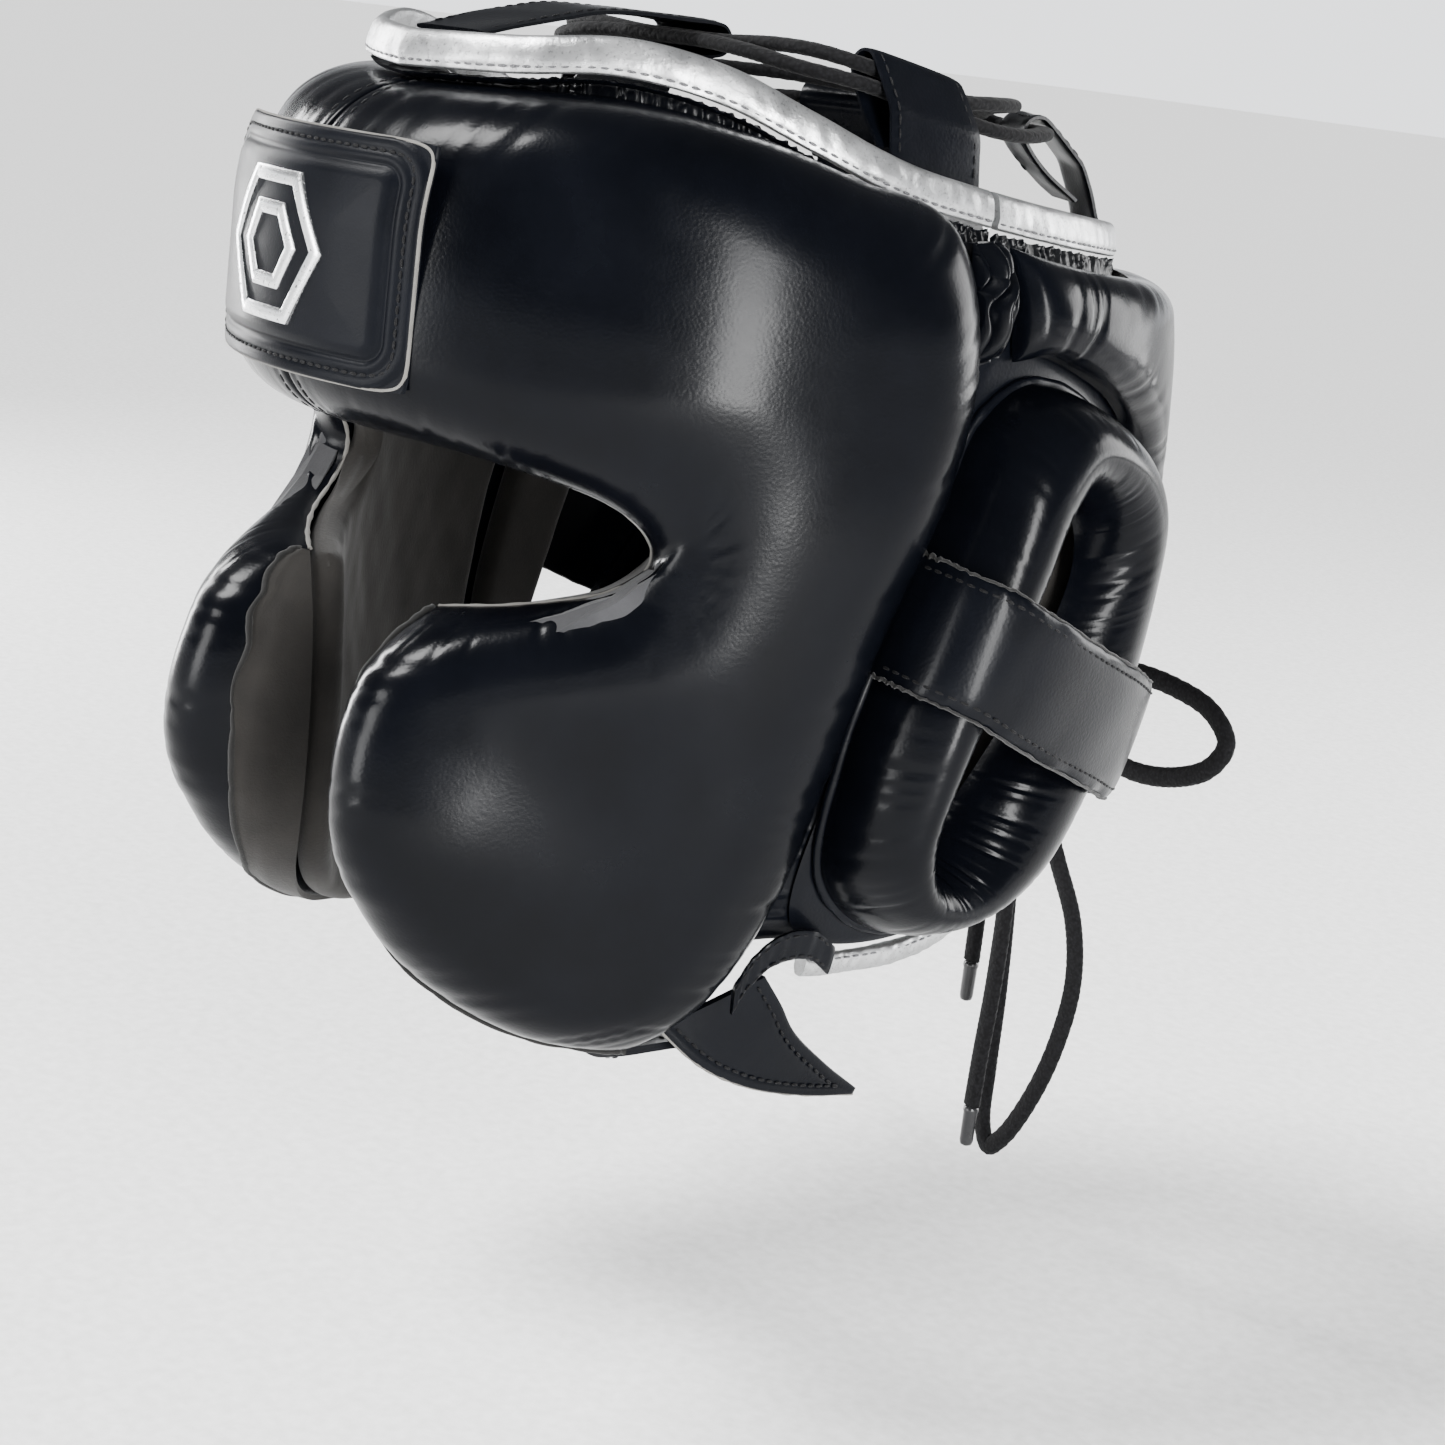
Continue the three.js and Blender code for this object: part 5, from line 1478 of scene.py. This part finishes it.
class HEADGEAR_OT_label(bpy.types.Operator):
    """Builds the forehead label: a rounded plate with a pressed-in frame, a pale cut edge, stitches and a
    plain hexagon in foil"""

    bl_idname = "headgear.label"
    bl_label = "Label"

    def outline(self, inset, count=400):
        """A rectangle with round corners, inset from the label's edge."""
        w, h = LABEL["width"] / 2 - inset, (LABEL["top"] - LABEL["bottom"]) / 2 - inset
        a = TAU * np.linspace(0, 1, count)
        c, s = np.cos(a), np.sin(a)
        r = (np.abs(c / w) ** 14 + np.abs(s / h) ** 14) ** (-1 / 14)
        return r * c, 0.5 * (LABEL["top"] + LABEL["bottom"]) + r * s

    def execute(self, context):
        w, h = LABEL["width"] / 2, (LABEL["top"] - LABEL["bottom"]) / 2
        u, v = np.meshgrid(np.linspace(-1, 1, 201), np.linspace(-1, 1, 141), indexing="ij")
        pinch = 1 - 0.018 * (u * v) ** 8
        x, z = w * u * pinch, 0.5 * (LABEL["top"] + LABEL["bottom"]) + h * v * pinch
        gap = np.minimum(w - np.abs(x), h - np.abs(z - 60))
        corner = np.hypot(np.maximum(np.abs(x) - (w - 11), 0), np.maximum(np.abs(z - 60) - (h - 11), 0))
        gap = np.where(corner > 0, np.minimum(gap, 11 - corner), gap)
        frame_line = -0.75 * bell(gap - 6.2, 0.8) + 0.75 * ease(gap, 6.2, 9.5)
        seam = -0.4 * bell(gap - 3.0, 0.7)
        rim = -0.7 * (1 - rolled(np.maximum(gap, 0), 1.0))
        puff = 0.5 * ease(gap, 8, 22)
        top = label_point(x, z, LABEL["thickness"] + frame_line + seam + rim + puff)
        bottom = label_point(x, z, 0)
        plate = add_mesh("label_plate_leather", shell(top, bottom), "label_leather", 1.0, 60)
        place(plate, "shell", "label_leather", "label_plate")
        ex, ez = self.outline(0.15)
        line = label_point(ex, ez, 0.75)
        out = np.tile([0.0, -1.0, 0.0], (len(line), 1))
        make(
            "label_cut_edge", sweep(line, out, ring_profile(0.4, 0.5, 8)), "raw_edge", "shell",
            "label_leather",
        )
        sx, sz = self.outline(3.0)
        stitches(
            "label_stitches", [(label_point(sx, sz, LABEL["thickness"] - 0.25), out)], "shell",
            "label_leather", pitch=2.6, length=2.0, thread=0.4,
        )
        self.emblem()
        return {"FINISHED"}

    def emblem(self):
        """A foil hexagon: straight between its corners, with a bevelled band for a section, round a smaller
        one."""
        lift = LABEL["thickness"] + 1.25
        for name, outer, inner in (("label_emblem_foil", 20.0, 16.0), ("label_emblem_core", 11.5, 7.5)):
            t = 6 * np.linspace(0, 1, 145)[:-1]
            k, f = np.floor(t), (t - np.floor(t))[:, None]
            corner = lambda n: np.stack([np.cos(np.pi * n / 3), np.sin(np.pi * n / 3)], 1)
            way = corner(k) * (1 - f) + corner(k + 1) * f
            section = [(outer, -0.9), (outer - 0.1, 0.3), (outer - 0.7, 0.62)]
            section += [(inner + 0.7, 0.62), (inner + 0.1, 0.3), (inner, -0.9)]
            rings = [label_point(r * way[:, 0], 60 + r * way[:, 1], lift + high) for r, high in section]
            foil = add_mesh(name, hoop(np.stack(rings, 1)), "silver_foil", 1.0, 35)
            if name.endswith("foil"):
                place(foil, "shell", "silver_foil", "label_emblem")
            else:
                place(foil, "shell", "silver_foil")


# ---------- chin ----------

KEEPER_LINE = [(58.8, -109, 19), (61.6, -101.6, 18.5), (66.6, -96, 17.6), (73, -95.4, 17), (79.5, -101, 16)]
ANCHOR_LINE = [(-104, 1), (-114, 1), (-121.4, 0.6), (-124.6, -2.6), (-125.6, -10)]
CHIN_LINE = [
    (-55, -128), (-50, -128.8), (-38, -130.2), (-19, -132), (0, -132.6), (20, -132.2), (42, -130.8),
    (55, -129.8), (62.5, -127),
]
TAB_UPPER = [(73, -26, -107), (73.6, -20, -115), (74, -15, -122.6), (74, -3, -133), (73.6, 9.6, -142)]
TAB_LOWER = [(66.2, -52.4, -120), (70.6, -42, -129.4), (73, -29, -136), (74, -10, -141), (73.6, 9, -143.8)]


class HEADGEAR_OT_chin_pieces(bpy.types.Operator):
    """Builds the chin strap, its hook and loop patches, the anchor it closes on, the keeper and the pointed
    tab"""

    bl_idname = "headgear.chin_pieces"
    bl_label = "Chin strap and tab"

    def keeper(self):
        """An arched strip: a line of [phi, z, height] carried across its width, thinner at its edges."""
        u, v = np.meshgrid(np.linspace(0, 1, 121), np.linspace(-0.5, 0.5, 17), indexing="ij")
        p = centripetal(KEEPER_LINE, u)
        thick = 1.8 * (1 - 0.45 * (2 * np.abs(v)) ** 5)
        wave = 0.3 * waves(60 * u, 8 * v, 101, 6, (6, 22))
        z = p[..., 1] + 8 * v
        top = on_head(p[..., 0], z, p[..., 2] + 0.9 + 0.5 * thick + wave)
        bottom = on_head(p[..., 0], z, p[..., 2] + 0.9 - 0.5 * thick + wave)
        make(
            "chin_keeper_leather", shell(top, bottom), "soft_leather", "shell", "soft_leather",
            "chin_keeper", sharp=60,
        )
        lines = []
        for at in (-0.36, 0.36):
            q = centripetal(KEEPER_LINE, np.linspace(0, 1, 90))
            base = on_head(q[:, 0], q[:, 1] + 8 * at, q[:, 2] + 1.72)
            lines.append((base, unit(on_head(q[:, 0], q[:, 1] + 8 * at, q[:, 2] + 3) - base)))
        stitches("keeper_stitches", lines, "shell", "soft_leather", pitch=2.8, length=2.1, thread=0.35)

    def anchor(self):
        """A strip down inside the cheek's lower edge that bends inwards under it."""
        u, v = np.meshgrid(np.linspace(0, 1, 61), np.linspace(0, 1, 21), indexing="ij")
        p = through(ANCHOR_LINE, u)
        bent = ease(u, 0.45, 0.85)
        lift = 0.7 * (1 - 0.3 * (2 * np.abs(v - 0.5)) ** 6)
        outer = on_head(43 + 14 * v, p[..., 0] - lift * bent, p[..., 1] + lift * (1 - bent))
        inner = on_head(43 + 14 * v, p[..., 0] + lift * bent, p[..., 1] - lift * (1 - bent))
        make(
            "chin_anchor_leather", shell(outer, inner), "soft_leather", "shell", "soft_leather",
            "chin_anchor", sharp=60,
        )

    def strap(self):
        """A level strip: a line in x and z carried in y, rounded at its edges, with two lines of stitches."""
        u, v = np.meshgrid(np.linspace(0, 1, 161), np.linspace(-1, 1, 25), indexing="ij")
        p = through(CHIN_LINE, u)
        thick = 1.1 * (1 - 0.35 * np.abs(v) ** 6)
        wave = 0.15 * waves(120 * u, 12 * v, 103, 6, (10, 30))
        y = -50 + 12 * v
        top = np.stack([p[..., 0], y, p[..., 1] + thick + 0.3 * wave], -1)
        bottom = np.stack([p[..., 0], y, p[..., 1] - thick + wave], -1)
        make(
            "chin_strap_leather", shell(top, bottom), "soft_leather", "chin_strap_swing", "soft_leather",
            "chin_strap", sharp=60,
        )
        q = through(CHIN_LINE, np.linspace(0.02, 0.97, 120))
        lines = []
        for at in (-59.6, -40.4):
            for sign in (1, -1):
                base = np.stack([q[:, 0], np.full(120, float(at)), q[:, 1] + sign * 0.95], 1)
                lines.append((base, np.tile([0.0, 0.0, float(sign)], (120, 1))))
        stitches("chin_strap_stitches", lines, "chin_strap_swing", "soft_leather")

    def patch(self, name, z, body, sign):
        """A fastening patch: a thin slab whose face stands in rows of small hooks or loops."""
        x, y = np.meshgrid(np.linspace(42, 51, 46), np.linspace(-59, -41, 91), indexing="ij")
        pile = 0.18 * np.abs(np.sin(np.pi * (x - 42) / 0.9) * np.sin(np.pi * (y + 59) / 0.9))
        face = np.stack([x, y, z + sign * (0.17 + pile)], -1)
        back = np.stack([x, y, z - sign * 0.35 + 0 * x], -1)
        make(name + "_pile", shell(face, back), "hook_tape", body, "hook_and_loop", name, sharp=70)

    def tab(self):
        """The pointed tab: a ruled face between its upper and lower edges, bowed a little, thinner at its
        edges."""
        u, v = np.meshgrid(np.linspace(0, 1, 91), np.linspace(0, 1, 41), indexing="ij")
        lower, upper = centripetal(TAB_LOWER, u), centripetal(TAB_UPPER, u)
        base = lower + (upper - lower) * v[..., None]
        edge = np.minimum(np.minimum(v, 1 - v) * np.linalg.norm(upper - lower, axis=-1), 62 * (1 - u))
        thick = 0.55 + 0.45 * rolled(edge, 2.5)
        wave = 0.12 * waves(60 * u, 30 * v, 107, 6, (12, 36)) - 0.3 * bell(edge - 3.2, 0.8)
        faces = []
        for sign in (1, -1):
            side = base.copy()
            side[..., 0] += sign * thick + wave * (1 if sign > 0 else 0.4)
            faces.append(side)
        make(
            "chin_tab_leather", shell(*faces), "soft_leather", "chin_tab_flap", "soft_leather", "chin_tab",
            sharp=60,
        )
        at = np.linspace(0.03, 0.9, 120)
        low, high = centripetal(TAB_LOWER, at), centripetal(TAB_UPPER, at)
        share = np.clip(3.2 / np.maximum(np.linalg.norm(high - low, axis=1), 6.5), 0, 0.49)[:, None]
        out = np.tile([1.0, 0.0, 0.0], (120, 1))
        lines = []
        for a, b in ((low, high), (high, low)):
            line = a + (b - a) * share
            line[:, 0] += 0.98
            lines.append((line, out))
        stitches("tab_stitches", lines, "chin_tab_flap", "soft_leather", pitch=2.9, length=2.2, thread=0.38)
        cut = centripetal(TAB_LOWER, np.linspace(0, 1, 200))
        rough = (1 + 0.3 * waves(np.arange(200.0), np.zeros(200), 109, 8, (4, 20)))[:, None, None]
        made = sweep(cut, np.tile([1.0, 0.0, 0.0], (200, 1)), ring_profile(0.4, 0.6, 8)[None] * rough)
        make("tab_cut_edge", made, "raw_edge", "chin_tab_flap", "soft_leather")

    def execute(self, context):
        self.keeper()
        self.anchor()
        self.strap()
        self.patch("chin_loop_patch", -126.9, "shell", -1)
        self.patch("chin_hook_patch", -127.9, "chin_strap_swing", 1)
        self.tab()
        return {"FINISHED"}


# ---------- padding, stage and panel ----------


class HEADGEAR_OT_padding(bpy.types.Operator):
    """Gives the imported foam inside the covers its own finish"""

    bl_idname = "headgear.padding"
    bl_label = "Padding"

    def execute(self, context):
        for name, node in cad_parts.items():
            if name.endswith(("_foam_left", "_foam_right")):
                node.data.materials.clear()
                node.data.materials.append(finish("padding_foam"))
        return {"FINISHED"}


class HEADGEAR_OT_stage(bpy.types.Operator):
    """Lays a flat pale floor, and hangs soft studio lights over and beside the headgear"""

    bl_idname = "headgear.stage"
    bl_label = "Floor and lights"

    def hang(self, data, where, aim):
        lamp = bpy.data.objects.new(data.name, data)
        bpy.context.scene.collection.objects.link(lamp)
        direction = Vector(where) - Vector(aim)
        lamp.matrix_world = Matrix.Translation(where) @ direction.to_track_quat("Z", "Y").to_matrix().to_4x4()

    def lamp(self, name, where, aim, size, power):
        data = bpy.data.lights.new(name, "AREA")
        data.shape = "RECTANGLE"
        data.size, data.size_y = size
        data.energy = power * settings().light
        self.hang(data, where, aim)

    def room(self, scene):
        """A dim room, white in a narrow band at the horizon where the floor ends."""
        world = bpy.data.worlds.new("studio")
        scene.world = world
        world.use_nodes = True
        tree = world.node_tree
        background = next(n for n in tree.nodes if n.type == "BACKGROUND")
        way = tree.nodes.new("ShaderNodeTexCoord")
        parts = tree.nodes.new("ShaderNodeSeparateXYZ")
        ramp = tree.nodes.new("ShaderNodeMapRange")
        tree.links.new(way.outputs["Generated"], parts.inputs["Vector"])
        tree.links.new(parts.outputs["Z"], ramp.inputs["Value"])
        for key, value in (("From Min", 0.06), ("From Max", 0.16), ("To Min", 2.2), ("To Max", 0.2)):
            ramp.inputs[key].default_value = value
        tree.links.new(ramp.outputs["Result"], background.inputs["Strength"])
        background.inputs["Color"].default_value = (0.95, 0.97, 1, 1)

    def execute(self, context):
        low = CAD_BOX[0][2] - 0.02
        x, y = np.meshgrid(np.linspace(-40000, 40000, 61), np.linspace(-40000, 40000, 61), indexing="ij")
        top = np.stack([x, y, np.full(x.shape, low / MM)], -1)
        floor = add_mesh("floor", shell(top, top - np.array([0, 0, 20.0])), "pale_floor")
        floor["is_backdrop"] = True
        self.room(context.scene)
        sun = bpy.data.lights.new("soft_sun", "SUN")
        sun.angle, sun.energy = math.radians(22), 6.3 * settings().light
        self.hang(sun, (-0.35, -0.58, 0.85), (0, 0, 0))
        self.lamp("side", (1.25, -0.35, 0.1), (0, 0, -0.02), (0.26, 1.0), 46)
        self.lamp("left", (-1.3, -0.25, 0.1), (0, 0, -0.05), (0.2, 1.1), 30)
        self.lamp("rear", (0.35, 1.4, 0.3), (0, 0, 0), (0.7, 0.8), 20)
        self.lamp("front", (-0.25, -1.6, 0.15), (0, 0, -0.05), (0.45, 0.7), 20)
        return {"FINISHED"}


STEPS = (
    HEADGEAR_OT_camera, HEADGEAR_OT_cords, HEADGEAR_OT_lacing, HEADGEAR_OT_knot, HEADGEAR_OT_front_pads,
    HEADGEAR_OT_front_linings, HEADGEAR_OT_rear_pads, HEADGEAR_OT_ear_rings, HEADGEAR_OT_flaps,
    HEADGEAR_OT_ear_straps, HEADGEAR_OT_bellows, HEADGEAR_OT_side_webs, HEADGEAR_OT_crown_rim,
    HEADGEAR_OT_lower_bindings, HEADGEAR_OT_crown_tabs, HEADGEAR_OT_lace_loops, HEADGEAR_OT_label,
    HEADGEAR_OT_chin_pieces, HEADGEAR_OT_padding, HEADGEAR_OT_stage,
)


class HEADGEAR_PT_panel(bpy.types.Panel):
    """Lists the settings and the building steps"""

    bl_idname = "HEADGEAR_PT_panel"
    bl_label = "Boxing Headgear"
    bl_space_type = "VIEW_3D"
    bl_region_type = "UI"
    bl_category = "Headgear"

    def draw(self, context):
        values = context.scene.headgear
        for key in values.bl_rna.properties.keys():
            if key not in ("rna_type", "name"):
                self.layout.prop(values, key)
        for step in STEPS:
            self.layout.operator(step.bl_idname)


def register():
    for item in (HeadgearSettings, *STEPS, HEADGEAR_PT_panel):
        bpy.utils.register_class(item)
    bpy.types.Scene.headgear = bpy.props.PointerProperty(type=HeadgearSettings)


def unregister():
    del bpy.types.Scene.headgear
    for item in reversed((HeadgearSettings, *STEPS, HEADGEAR_PT_panel)):
        bpy.utils.unregister_class(item)


def main():
    """Registers the add-on, builds every piece in order and takes the box round all that is shown."""
    register()
    for step in STEPS:
        group, name = step.bl_idname.split(".")
        getattr(getattr(bpy.ops, group), name)()
    seen = [list(corner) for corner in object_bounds()]


if __name__ == "__main__":
    main()
